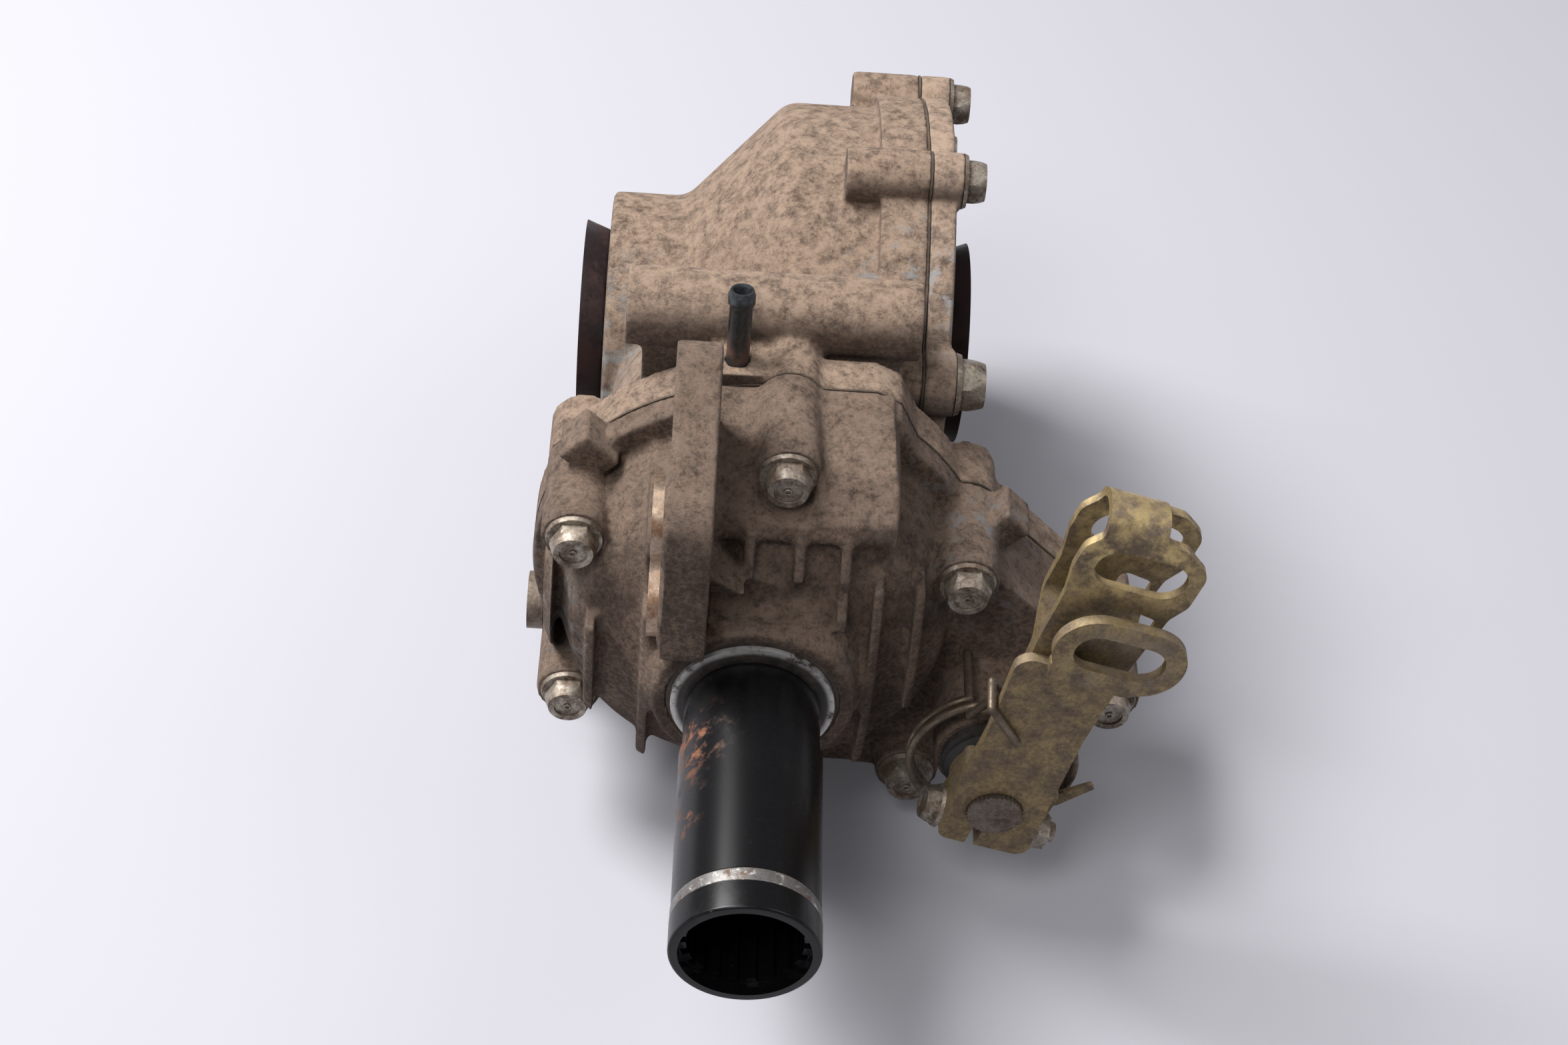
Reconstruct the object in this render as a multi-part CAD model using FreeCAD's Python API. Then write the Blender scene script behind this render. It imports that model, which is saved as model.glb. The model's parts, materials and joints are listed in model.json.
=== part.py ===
"""Rear differential: a cast final drive case with a sealed wet disc brake in its front cover.

The origin is the middle of the upper mounting bore. +X points to the output on the ring gear's
side, +Y points from the input sleeve to the gears, and +Z points up. Lengths are millimetres.
"""
import FreeCAD
import Part
import math
import os

Vec = FreeCAD.Vector
X_AXIS = Vec(1, 0, 0)
Y_AXIS = Vec(0, 1, 0)
Z_AXIS = Vec(0, 0, 1)

# Axes and planes, measured from the upper mounting bore
AXIS_DROP = 71.0
OUTPUT_SETBACK = 73.0
SEAL_REACH = 85.0
COVER_JOINT = 25.0
FOOT_DROP = 150.0

# Fits
FIT = 0.04
RUNNING_FIT = 0.06
WORKING_GAP = 0.5
GASKET = 0.6

# Upper mounting tube
MOUNT_LENGTH = 84.0
MOUNT_OUTER_R = 11.5
MOUNT_BORE_R = 5.25
MOUNT_WEB_LENGTH = 74.0
MOUNT_WEB_DROP = 32.0

# Front cover and its joint face
COVER_R = 66.0
COVER_FLANGE = 8.0
DOME_R = 58.0
DOME_SHOULDER_R = 53.0
DOME_SHOULDER_REACH = 62.0
DOME_NECK_REACH = 74.0
NECK_R = 32.0
SEAL_RING_R = 28.5
SEAL_RING_REACH = 1.0
CAM_CORNER_R = 9.6
CAM_EDGE = 6.5
CAM_CORNERS = ((59.0, 23.6), (106.0, -22.0), (50.0, -60.0))
CAM_BOX_DEPTH = 27.0
COVER_CORNER = ((30.0, 66.0), (37.0, 62.5), (43.0, 50.0))

# Front cover bolts
COVER_BOLT_R = 62.0
COVER_BOLT_ANGLES = (85.0, 148.0, 211.0, 262.0)
COVER_SEAT = 57.0
BOLT_BOSS_R = 9.6

# Fins on the front cover: x, lowest and highest z from the input axis
FIN_HEIGHT = 6.0
FIN_WIDTH = 3.0
FRONT_FINS = (
    (-60.0, -31.0, 16.0), (-47.0, -46.0, 12.0), (-31.0, -63.0, 50.0), (-4.0, 31.0, 52.0),
    (10.0, 31.0, 58.0), (23.0, 24.0, 54.0), (33.0, -63.0, 34.0), (45.0, -14.0, 30.0),
)

# Lower mounting lug on the front cover
LUG_LEFT = -27.0
LUG_WIDTH = 12.5
LUG_FRONT = 93.0
LUG_BOTTOM = 22.0
LUG_KINK = 74.0
LUG_TOP = 99.0
LUG_TOP_REACH = 44.0
LUG_BACK_REACH = 40.0
LUG_HOLE_REACH = 79.0
LUG_HOLE_HEIGHTS = (34.0, 65.0)
LUG_SLEEVE_R = 11.0
LUG_SLEEVE_BORE_R = 5.1
LUG_SLEEVE_PROUD = 4.0
LUG_BOSS_WALL = 2.4
LUG_HOLE_LEAD = 20.0
LUG_BOLT_LEAD = 60.0
LUG_BOLT_GAP = 0.9
LUG_GUSSET = 26.0
LUG_GUSSET_HEIGHTS = (26.0, 47.0)
BLOCK_LEFT = -15.0
BLOCK_RIGHT = 37.0
BLOCK_TOP = 65.5
BLOCK_BOTTOM = 47.0
CLIP_TABS = ((-50.0, 46.0, 137.0), (69.0, 26.0, 45.0))
TAB_REACH = 7.0
TAB_WIDTH = 11.0
TAB_DEPTH = 13.0

# Main case
CASE_FLANGE = 12.0
COLLAR_R = 41.5
COLLAR_FACE = 50.0
COLLAR_RUN = 23.0
RING_HOUSING_R = 73.0
SLOPE_END = 3.0
CASE_WALL = 6.0
SIDE_JOINT = 45.0
SIDE_FLANGE_R = 77.0
SIDE_FLANGE_DEPTH = 14.0
NECK_FRONT_R = 54.0
NECK_REAR_R = 46.0
FOOT_LENGTH = 34.0
FOOT_SPAN = 68.0
FOOT_SHIFT = 10.0

# Side cover
SIDE_PLATE = 9.5
SIDE_HUB_R = 37.0
SIDE_RIBS = 8
SIDE_RIB_WIDTH = 4.0
SIDE_BOLT_R = 77.0
SIDE_BOLT_ANGLES = (14.0, 43.0, 100.0, 148.0, 195.0, 240.0, 300.0, 335.0)
LARGE_BOLT_INDEX = 3
BARREL_R = 8.5
LARGE_BARREL_R = 9.6
BARREL_DEPTH = 21.0
LONG_BARREL_INDEX = 2
LONG_BARREL_EXTRA = 4.0

# Flange bolts: across flats, head height, washer radius, washer height, shank radius
M8_BOLT = (12.0, 6.8, 8.4, 1.2, 4.0)
M10_BOLT = (14.0, 8.8, 9.4, 1.6, 5.0)
M6_BOLT = (10.0, 5.0, 6.6, 1.1, 3.0)
BOLT_GRIP = 14.0
BOLT_CLEARANCE = 0.3
BOLT_TOOL_REACH = 30.0

# Input sleeve
SLEEVE_REACH = 88.3
SLEEVE_R = 20.0
SLEEVE_LIP_R = 20.3
SLEEVE_LIP = 9.0
SLEEVE_NECK_R = 19.2
SLEEVE_NECK = 21.0
SLEEVE_SEAT_R = 18.0
SLEEVE_BORE_R = 17.4
SLEEVE_MOUTH = 4.0
SLEEVE_SPLINE = 34.0
SLEEVE_HUB = 28.0
SPLINE_TEETH = 20
SPLINE_DEPTH = 1.8
BAND_WIDTH = 4.4
BAND_DEPTH = 1.1
GROOVE_WIDTH = 1.2
GROOVE_DEPTH = 0.7

# Input shaft, bearings and seal
SHAFT_R = 12.0
SHAFT_THREAD_R = 9.0
SHAFT_SEAT_R = 15.0
PINION_SEAT_R = 17.5
PINION_NUT_R = 11.0
NUT_HEIGHT = 9.0
SEAL_R = 24.5
SEAL_WIDTH = 8.0
FRONT_BEARING = (15.0, 23.5, 9.0)
PINION_BEARING = (17.5, 31.0, 27.0)
SIDE_BEARING = (20.0, 34.0, 15.0)
RACE_SHARE = 0.3
LOCK_RING = 4.0
LOCK_RING_R = 33.0
DUST_DISC = 1.6
DUST_DISC_R = 23.2

# Wet brake
HUB_R = 30.0
HUB_TEETH = 18
HUB_TOOTH = 2.2
HUB_WEB = 6.0
DISC_OUTER_R = 46.0
PLATE_INNER_R = 33.5
PLATE_OUTER_R = 49.0
PLATE_EARS = 6
EAR_WIDTH = 9.0
EAR_REACH = 51.5
FRICTION_DISC = 2.2
FRICTION_COUNT = 4
STEEL_PLATE = 1.8
DISC_GAP = 0.3
RELEASE_GAP = 1.7
PRESSURE_PLATE = 4.0
CAM_RING = 5.0
CAM_RING_OUTER_R = 46.0
CAM_RING_INNER_R = 35.0
THRUST_GAP = 0.3
RAMP_COUNT = 3
RAMP_R = 41.5
RAMP_WIDTH = 8.0
RAMP_RISE = 1.5
RAMP_FOOT = 1.4
RAMP_GAP = 0.2
SECTOR_RATIO = 0.6
SECTOR_MODULE = 2.0
SECTOR_BACKLASH = 0.3
LEVER_SWING = 30.0
ROLLER_R = 1.6

# Brake camshaft, lever and spring
CAM_X = 72.0
CAM_Z = -31.0
CAM_BOSS_R = 17.0
CAM_BOSS_REACH = 74.0
CAM_SHAFT_R = 7.0
SERRATION_R = 8.2
SERRATION_TEETH = 36
CAM_SHAFT_REACH = 96.5
BOOT_R = 15.0
LEVER_FACE = 95.0
LEVER_PLATE = 3.2
ARM_LEFT = -19.0
ARM_RIGHT = 11.5
LEVER_REACH = 62.0
CLAMP_LEFT = -12.3
CLAMP_RIGHT = 16.2
LEVER_TILT = 15.5
CLAMP_DEPTH = 10.0
CLAMP_TOP = 11.0
CLAMP_BOTTOM = 16.0
CLAMP_SLOT = 3.0
CLAMP_BOLT_DROP = 12.0
LOOP_REACH = 74.9
LOOP_SHIFT = 5.5
SLOT_LENGTH = 26.0
SLOT_WIDTH = 13.0
LOOP_RIM = 5.8
YOKE_REACH = 101.0
YOKE_PLATE = 2.5
YOKE_WIDTH = 14.5
YOKE_TOP = 118.0
YOKE_STRAP = 17.0
POINTER_PLATE = 1.6
POINTER_REACH = 26.0
SPRING_R = 24.0
SPRING_WIRE_R = 1.3
SPRING_TURNS = 2
SPRING_PITCH = 3.2
SPRING_BACK = 70.5
SPRING_END_ANGLE = 128.0
HOOK_HEIGHT = 44.0
HOOK_RUN = 12.0

# Bevel gears: teeth, module, face width, addendum and dedendum in modules
RING_TEETH = 37
PINION_TEETH = 11
GEAR_MODULE = 3.25
GEAR_FACE = 17.0
PINION_ADDENDUM = 1.15
RING_ADDENDUM = 0.55
ROOT_CLEARANCE = 0.25
GEAR_PRESSURE_ANGLE = 20.0
GEAR_SPIRAL = 28.0
GEAR_BACKLASH = 0.30
RING_WEB = 6.5
RING_BORE_R = 38.0
RING_BOLTS = 8
RING_BOLT_R = 44.5

# Differential gears and carrier
SIDE_TEETH = 16
SPIDER_TEETH = 10
DIFF_MODULE = 2.6
DIFF_FACE = 8.5
DIFF_ADDENDUM = 0.8
DIFF_BACKLASH = 0.26
CARRIER_R = 33.0
CARRIER_INNER_R = 27.0
CARRIER_HALF = 27.5
CARRIER_FLANGE = 4.5
TRUNNION_R = 20.0
CROSS_PIN_R = 6.0
SIDE_HUB_OUTER_R = 15.5
OUTPUT_BORE_R = 11.5
OUTPUT_TEETH = 24
OUTPUT_DEPTH = 1.1
THRUST_WASHER = 1.0

# Output seals and guards
OUTPUT_SEAL_R = 27.0
OUTPUT_SEAL_LIP_R = 17.0
OUTPUT_SEAL_WIDTH = 5.0
GUARD_R = 32.0
GUARD_FLARE = 8.0
GUARD_SHEET = 1.4

# Breather, plugs and dowels
BREATHER_X = -10.0
BREATHER_Y = -18.5
BREATHER_TILT = 8.0
BREATHER_R = 3.3
BREATHER_LIP_R = 3.9
BREATHER_BORE_R = 2.3
BREATHER_HEIGHT = 23.0
BREATHER_PAD_TOP = -2.0
DOWEL_R = 4.0
DOWEL_LENGTH = 12.0
PLUG_R = 6.0
PAD_R = 9.0
PAD_DEPTH = 24.0
PLUG_BOSS_R = 12.0

# Values that follow from the sizes above
AXIS_Z = -AXIS_DROP
JOINT_Y = -COVER_JOINT
COVER_BACK_Y = JOINT_Y - GASKET
SIDE_PLATE_X = SIDE_JOINT + GASKET
SIDE_FACE_X = SIDE_PLATE_X + SIDE_PLATE
TINY = 1e-6


def flat(angle):
    """Cosine and sine of an angle in degrees."""
    return math.cos(math.radians(angle)), math.sin(math.radians(angle))


def corner_arc(before, here, after):
    """Start, middle and end of the arc that rounds one corner of an outline."""
    radius = here[2]
    spot = Vec(here[0], here[1], 0)
    if radius == 0:
        return spot, None, spot
    back = (Vec(before[0], before[1], 0) - spot).normalize()
    ahead = (Vec(after[0], after[1], 0) - spot).normalize()
    half = back.getAngle(ahead) / 2
    reach = radius / math.tan(half)
    inward = (back + ahead).normalize()
    middle = spot + inward * (radius / math.sin(half) - radius)
    return spot + back * reach, middle, spot + ahead * reach


def rounded_face(corners, place):
    """A face from (u, v, corner radius) points, where place turns u and v into a point."""
    count = len(corners)
    arcs = [corner_arc(corners[i - 1], corners[i], corners[(i + 1) % count]) for i in range(count)]
    edges = []
    for index, (enter, middle, leave) in enumerate(arcs):
        if middle is not None:
            points = [place(p.x, p.y) for p in (enter, middle, leave)]
            edges.append(Part.Arc(*points).toShape())
        following = arcs[(index + 1) % count][0]
        if (following - leave).Length > TINY:
            edges.append(Part.makeLine(place(leave.x, leave.y), place(following.x, following.y)))
    return Part.Face(Part.Wire(edges))


def prism_y(corners, start, end):
    """A prism along Y from an outline in X and Z measured from the input axis."""
    face = rounded_face(corners, lambda u, v: Vec(u, start, AXIS_Z + v))
    return face.extrude(Y_AXIS * (end - start))


def prism_x(corners, start, end):
    """A prism along X from an outline in Y and Z measured from the input axis."""
    face = rounded_face(corners, lambda u, v: Vec(start, u, AXIS_Z + v))
    return face.extrude(X_AXIS * (end - start))


def turned_y(corners):
    """A solid turned about the input axis from (y, radius, corner radius) points."""
    face = rounded_face(corners, lambda u, v: Vec(v, u, AXIS_Z))
    return face.revolve(Vec(0, 0, AXIS_Z), Y_AXIS, 360)


def turned_x(corners):
    """A solid turned about the output axis from (x, radius, corner radius) points."""
    face = rounded_face(corners, lambda u, v: Vec(u, OUTPUT_SETBACK, AXIS_Z + v))
    return face.revolve(Vec(0, OUTPUT_SETBACK, AXIS_Z), X_AXIS, 360)


def rod_y(radius, start, end, x=0.0, z=0.0):
    """A cylinder along Y at x and z from the input axis."""
    return Part.makeCylinder(radius, end - start, Vec(x, start, AXIS_Z + z), Y_AXIS)


def rod_x(radius, start, end, y=0.0, z=0.0):
    """A cylinder along X at y and z from the output axis."""
    return Part.makeCylinder(radius, end - start, Vec(start, OUTPUT_SETBACK + y, AXIS_Z + z), X_AXIS)


def ring_y(outer, inner, start, end):
    """A plain ring about the input axis."""
    return rod_y(outer, start, end).cut(rod_y(inner, start - 1, end + 1))


def ring_x(outer, inner, start, end):
    """A plain ring about the output axis."""
    return rod_x(outer, start, end).cut(rod_x(inner, start - 1, end + 1))


def placed(shape, position, direction):
    """The shape, modelled along +Z, moved to a position and turned to a direction."""
    moved = shape.copy()
    moved.Placement = FreeCAD.Placement(position, FreeCAD.Rotation(Z_AXIS, direction))
    return moved


def around_y(shape, angle):
    """A copy of the shape turned about the input axis."""
    turned = shape.copy()
    turned.rotate(Vec(0, 0, AXIS_Z), Y_AXIS, -angle)
    return turned


def around_x(shape, angle):
    """A copy of the shape turned about the output axis."""
    turned = shape.copy()
    turned.rotate(Vec(0, OUTPUT_SETBACK, AXIS_Z), X_AXIS, angle)
    return turned


def fuse(shapes):
    """One solid from overlapping shapes."""
    return shapes[0].multiFuse(shapes[1:]).removeSplitter()


def flange_bolt(size, length):
    """A flange bolt along +Z: its seat is at zero and its shank reaches down."""
    flats, head, washer_r, washer, shank_r = size
    corner = flats / 2 / math.cos(math.pi / 6)
    points = [Vec(corner * flat(60 * i)[0], corner * flat(60 * i)[1], 0) for i in range(7)]
    hexagon = Part.Face(Part.makePolygon(points)).extrude(Z_AXIS * head)
    crown = Part.makeCone(corner * 1.16, flats / 2 * 0.94, head, Vec(0, 0, 0), Z_AXIS)
    dish = Part.makeCylinder(flats * 0.33, head, Vec(0, 0, head - washer / 2), Z_AXIS)
    washer_disc = Part.makeCone(washer_r, washer_r * 0.94, washer, Vec(0, 0, 0), Z_AXIS)
    shank = Part.makeCylinder(shank_r, length + washer, Vec(0, 0, -length), Z_AXIS)
    return fuse([hexagon.common(crown).cut(dish), washer_disc, shank])


def seated(size, length, position, direction):
    """A flange bolt standing on a seat, with its head pointing along the direction."""
    return placed(flange_bolt(size, length), position + direction * FIT, direction)


def spline_bore(radius, depth, teeth, length):
    """A cutter along +Z for a splined bore: radius is at the tooth gaps."""
    bore = Part.makeCylinder(radius - depth, length, Vec(0, 0, 0), Z_AXIS)
    width = math.pi * (radius - depth) / teeth
    gap = Part.makeBox(radius, width, length, Vec(0, -width / 2, 0))
    rim = Part.makeCylinder(radius, length, Vec(0, 0, 0), Z_AXIS)
    gaps = []
    for index in range(teeth):
        turned = gap.copy()
        turned.rotate(Vec(0, 0, 0), Z_AXIS, 360 * index / teeth)
        gaps.append(turned)
    return bore.fuse(Part.makeCompound(gaps).common(rim))


def cover_bolt_spots():
    """X and Z, from the input axis, of every bolt through the front cover."""
    spots = []
    for angle in COVER_BOLT_ANGLES:
        across, up = flat(angle)
        spots.append((COVER_BOLT_R * across, COVER_BOLT_R * up))
    return spots + list(CAM_CORNERS)


def cam_outline(inset):
    """The three-cornered flange outline that carries the brake camshaft."""
    upper, right, lower = CAM_CORNERS
    radius = CAM_EDGE - inset
    corners = []
    for here, ahead in ((upper, right), (right, lower)):
        along = Vec(ahead[0] - here[0], ahead[1] - here[1], 0).normalize()
        outward = Vec(-along.y, along.x, 0) * radius
        corners.append((here[0] + outward.x, here[1] + outward.y, 0))
        corners.append((ahead[0] + outward.x, ahead[1] + outward.y, 0))
    corners.append((0.0, lower[1] - radius * 0.2, 0))
    corners.append((0.0, upper[1], 0))
    return corners


def flange_plate(start, end, inset=0.0):
    """The joint flange shared by the front cover and the main case."""
    disc = rod_y(COVER_R - inset, start, end)
    tongue = prism_y(cam_outline(inset), start, end)
    rounds = [rod_y(CAM_CORNER_R - inset, start, end, x, z) for x, z in CAM_CORNERS]
    high = [(x - inset, z - inset, 0) for x, z in COVER_CORNER]
    inner = [(0, 0, 0), (0, COVER_R, 0)]
    corner = prism_y(inner + high + [(COVER_CORNER[-1][0], 0, 0)], start, end)
    return fuse([disc, tongue, corner] + rounds)


def disc_stack():
    """Start of each friction disc and steel plate, and of the cover wall behind them."""
    ring_front = JOINT_Y - THRUST_GAP - CAM_RING
    plate_back = ring_front - RAMP_FOOT - RAMP_GAP - ROLLER_R * 1.25
    plate_front = plate_back - PRESSURE_PLATE
    place = plate_front - RELEASE_GAP
    friction = []
    steel = []
    for index in range(FRICTION_COUNT):
        place -= FRICTION_DISC
        friction.append(place)
        place -= DISC_GAP
        if index < FRICTION_COUNT - 1:
            place -= STEEL_PLATE
            steel.append(place)
            place -= DISC_GAP
    return friction, steel, place, plate_front, ring_front


FRICTION_Y, STEEL_Y, BRAKE_WALL_Y, PRESSURE_Y, CAM_RING_Y = disc_stack()
CENTRES = math.hypot(CAM_X, CAM_Z)
SECTOR_PITCH_R = CENTRES * SECTOR_RATIO / (1 + SECTOR_RATIO)
RING_PITCH_R = CENTRES - SECTOR_PITCH_R
CENTRE_ANGLE = math.degrees(math.atan2(CAM_Z, CAM_X))
FRONT_BEARING_Y = -(SEAL_REACH - SEAL_WIDTH - 1.0)
PINION_BEARING_Y = JOINT_Y + LOCK_RING
PINION_SHOULDER_Y = PINION_BEARING_Y + PINION_BEARING[2]
MOUTH_Y = -(SEAL_REACH + SLEEVE_REACH)
HUB_FRONT_Y = FRONT_BEARING_Y - SLEEVE_HUB


def ear_slots(clearance):
    """Six radial blocks that guide the steel plates, wider by the clearance on each side."""
    width = EAR_WIDTH + 2 * clearance
    rim = rod_y(EAR_REACH + clearance, BRAKE_WALL_Y, 0.0)
    bars = []
    for index in range(PLATE_EARS):
        bar = Part.makeBox(EAR_REACH * 2, 60.0, width, Vec(0, BRAKE_WALL_Y, AXIS_Z - width / 2))
        bars.append(around_y(bar, 360 * (index + 0.35) / PLATE_EARS))
    return Part.makeCompound(bars).common(rim)


def dome(extra, back):
    """The turned bowl of the front cover, thicker by extra on its outside."""
    front = -(SEAL_REACH + SEAL_RING_REACH)
    corners = [
        (front, 0, 0), (front, SEAL_RING_R, 1.0), (-DOME_NECK_REACH - extra, NECK_R, 4.0),
        (-DOME_SHOULDER_REACH - extra, DOME_SHOULDER_R + extra / 2, 9.0),
        (JOINT_Y - 20.0, DOME_R + extra, 6.0), (back, DOME_R + extra + 1.0, 0), (back, 0, 0),
    ]
    return turned_y(corners)


def front_fins():
    """Cast cooling fins that stand square to X on the bowl."""
    envelope = dome(FIN_HEIGHT, COVER_BACK_Y - 3.0)
    fins = []
    for x, low, high in FRONT_FINS:
        left = x - FIN_WIDTH / 2
        depth = SEAL_REACH - COVER_JOINT - 4.0
        box = Part.makeBox(FIN_WIDTH, depth, high - low, Vec(left, -SEAL_REACH + 2.0, AXIS_Z + low))
        fins.append(box.common(envelope))
    return fins


def lug():
    """The tall lug with two cross holes, and the gusset beside it."""
    corners = [
        (-LUG_FRONT, LUG_BOTTOM, 4.0), (-LUG_FRONT, LUG_KINK, 14.0),
        (-LUG_TOP_REACH - 6.0, LUG_TOP, 5.0), (-LUG_BACK_REACH, LUG_TOP - 4.0, 5.0),
        (-LUG_BACK_REACH, 40.0, 0), (-SEAL_REACH + 22.0, LUG_BOTTOM - 6.0, 0),
        (-SEAL_REACH + 6.0, LUG_BOTTOM - 4.0, 3.0),
    ]
    plate = prism_x(corners, LUG_LEFT, LUG_LEFT + LUG_WIDTH)
    low, high = LUG_GUSSET_HEIGHTS
    right = LUG_LEFT + LUG_WIDTH
    gusset = prism_y([(right - 1.0, low, 0), (right - 1.0, high, 0), (right + LUG_GUSSET, low + 4.0, 0),
                      (right + LUG_GUSSET, low, 0)], -SEAL_REACH + 3.0, -SEAL_REACH + 30.0)
    bosses = []
    for height in LUG_HOLE_HEIGHTS:
        spot = Vec(LUG_LEFT - 1.0, -LUG_HOLE_REACH, AXIS_Z + height)
        bosses.append(Part.makeCylinder(LUG_SLEEVE_R + LUG_BOSS_WALL, LUG_WIDTH + 1.0, spot, X_AXIS))
    return [plate, gusset] + bosses


def lug_holes(radius):
    """Cutters through the lug for its two bushings, with room for their bolts beyond it."""
    holes = []
    for height in LUG_HOLE_HEIGHTS:
        spot = Vec(LUG_LEFT - LUG_HOLE_LEAD, -LUG_HOLE_REACH, AXIS_Z + height)
        holes.append(Part.makeCylinder(radius, LUG_WIDTH + LUG_HOLE_LEAD, spot, X_AXIS))
        bolt_r = LUG_SLEEVE_BORE_R + LUG_BOLT_GAP
        holes.append(Part.makeCylinder(bolt_r, LUG_WIDTH + LUG_BOLT_LEAD, spot, X_AXIS))
    return holes


def top_block():
    """The raised block on top of the cover, round on its front and right edges."""
    back = COVER_BACK_Y
    side = prism_x([
        (back, 30.0, 0), (back, BLOCK_TOP, 0), (-36.0, BLOCK_TOP, 5.0), (-55.0, BLOCK_TOP - 3.0, 8.0),
        (-67.0, BLOCK_TOP - 12.0, 5.0), (-69.0, BLOCK_BOTTOM, 2.0), (-50.0, BLOCK_BOTTOM - 6.0, 0),
    ], BLOCK_LEFT, BLOCK_RIGHT)
    face = prism_y([
        (BLOCK_LEFT, 20.0, 0), (BLOCK_LEFT, BLOCK_TOP + 5.0, 0), (BLOCK_RIGHT - 4.0, BLOCK_TOP + 5.0, 6.0),
        (BLOCK_RIGHT, BLOCK_TOP - 8.0, 9.0), (BLOCK_RIGHT - 1.0, BLOCK_BOTTOM - 2.0, 6.0),
        (BLOCK_RIGHT - 12.0, 20.0, 0),
    ], -75.0, back)
    return side.common(face)


def clip_tabs():
    """Two cast tabs on the rim of the cover that hold the breather hose and cable clips."""
    tabs = []
    for x, z, angle in CLIP_TABS:
        tab = Part.makeBox(TAB_REACH * 2, TAB_DEPTH, TAB_WIDTH,
                           Vec(-TAB_REACH, COVER_BACK_Y - 1.0 - TAB_DEPTH, -TAB_WIDTH / 2))
        tab.rotate(Vec(0, 0, 0), Y_AXIS, -angle)
        tab.translate(Vec(x, 0, AXIS_Z + z))
        tabs.append(tab)
    return tabs


def front_cover():
    """The bowl, its flange, bolt bosses, fins, lug and camshaft boss, hollowed for the brake."""
    back = COVER_BACK_Y
    box_front = JOINT_Y - CAM_BOX_DEPTH
    solids = [dome(0.0, back), flange_plate(back - COVER_FLANGE, back)]
    solids.append(prism_y(cam_outline(1.5), box_front, back))
    solids.append(rod_y(CAM_BOSS_R, -CAM_BOSS_REACH, back, CAM_X, CAM_Z))
    for x, z in cover_bolt_spots():
        solids.append(rod_y(BOLT_BOSS_R, -COVER_SEAT, back, x, z))
    solids += front_fins() + lug() + clip_tabs() + [top_block()]
    cover = fuse(solids)
    cuts = [rod_y(PLATE_OUTER_R + WORKING_GAP, BRAKE_WALL_Y, 0.0), ear_slots(WORKING_GAP / 2)]
    cuts.append(rod_y(SEAL_R + FIT, -SEAL_REACH - 5.0, -SEAL_REACH + SEAL_WIDTH))
    cuts.append(rod_y(FRONT_BEARING[1] - 2.5, -SEAL_REACH, FRONT_BEARING_Y + 1.0))
    cuts.append(rod_y(FRONT_BEARING[1] + FIT, FRONT_BEARING_Y, FRONT_BEARING_Y + FRONT_BEARING[2]))
    cuts.append(rod_y(HUB_R + 1.5, FRONT_BEARING_Y + FRONT_BEARING[2], BRAKE_WALL_Y + 1.0))
    cuts.append(cam_pocket())
    cuts.append(rod_y(CAM_SHAFT_R + RUNNING_FIT, -CAM_BOSS_REACH - 1.0, 0.0, CAM_X, CAM_Z))
    for x, z in cover_bolt_spots():
        outside = -COVER_SEAT - BOLT_TOOL_REACH
        cuts.append(rod_y(M8_BOLT[4] + BOLT_CLEARANCE, outside, 0.0, x, z))
        cuts.append(rod_y(M8_BOLT[2] + WORKING_GAP, outside, -COVER_SEAT, x, z))
    return cover.cut(cuts + lug_holes(LUG_SLEEVE_R + FIT)).removeSplitter()


def cam_pocket():
    """The space in the front cover where the toothed sector swings."""
    reach = SECTOR_PITCH_R + SECTOR_MODULE + 2.0
    swing = rod_y(reach, CAM_RING_Y - 1.5, 0.0, CAM_X, CAM_Z)
    inside = prism_y(cam_outline(4.5), CAM_RING_Y - 1.5, 0.0)
    for x, z in CAM_CORNERS:
        inside = inside.cut(rod_y(BOLT_BOSS_R, CAM_RING_Y - 3.0, 1.0, x, z))
    teeth = rod_y(RING_PITCH_R + SECTOR_MODULE + WORKING_GAP, CAM_RING_Y - 1.5, 0.0)
    return swing.common(inside).fuse(teeth)


def main_case():
    """The rear casting: joint flange, neck, gear housing, mounting tube, collar and feet."""
    flange_end = JOINT_Y + CASE_FLANGE
    joint = SIDE_JOINT
    solids = [flange_plate(JOINT_Y, flange_end)]
    for x, z in cover_bolt_spots():
        solids.append(rod_y(BOLT_BOSS_R, JOINT_Y, flange_end + 5.0, x, z))
    solids.append(turned_y([
        (JOINT_Y, 0, 0), (JOINT_Y, NECK_FRONT_R, 0), (flange_end + 2.0, NECK_FRONT_R, 0),
        (OUTPUT_SETBACK - 38.0, NECK_REAR_R, 0), (OUTPUT_SETBACK - 30.0, 0, 0),
    ]))
    solids.append(turned_x([
        (-COLLAR_FACE, 0, 0), (-COLLAR_FACE, COLLAR_R, 1.5),
        (-COLLAR_FACE + COLLAR_RUN, COLLAR_R, 8.0), (SLOPE_END, RING_HOUSING_R, 9.0),
        (joint, RING_HOUSING_R, 0), (joint, 0, 0),
    ]))
    solids.append(rod_x(SIDE_FLANGE_R, joint - SIDE_FLANGE_DEPTH, joint))
    solids += case_barrels()
    solids.append(rod_y(CAM_RING_INNER_R - RUNNING_FIT, CAM_RING_Y, JOINT_Y + 1.0))
    solids += mount_tube() + case_feet()
    solids.append(rod_x(PLUG_BOSS_R - 3.0, -64.0, -10.0, -OUTPUT_SETBACK - 4.0, -50.0))
    case = fuse(solids)
    return case.cut(case_cuts())


def side_spots():
    """Y and Z offsets, from the output axis, of the side cover bolts with their barrel radii."""
    spots = []
    for index, angle in enumerate(SIDE_BOLT_ANGLES):
        along, up = flat(angle)
        radius = LARGE_BARREL_R if index == LARGE_BOLT_INDEX else BARREL_R
        spots.append((SIDE_BOLT_R * along, SIDE_BOLT_R * up, radius))
    return spots


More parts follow.
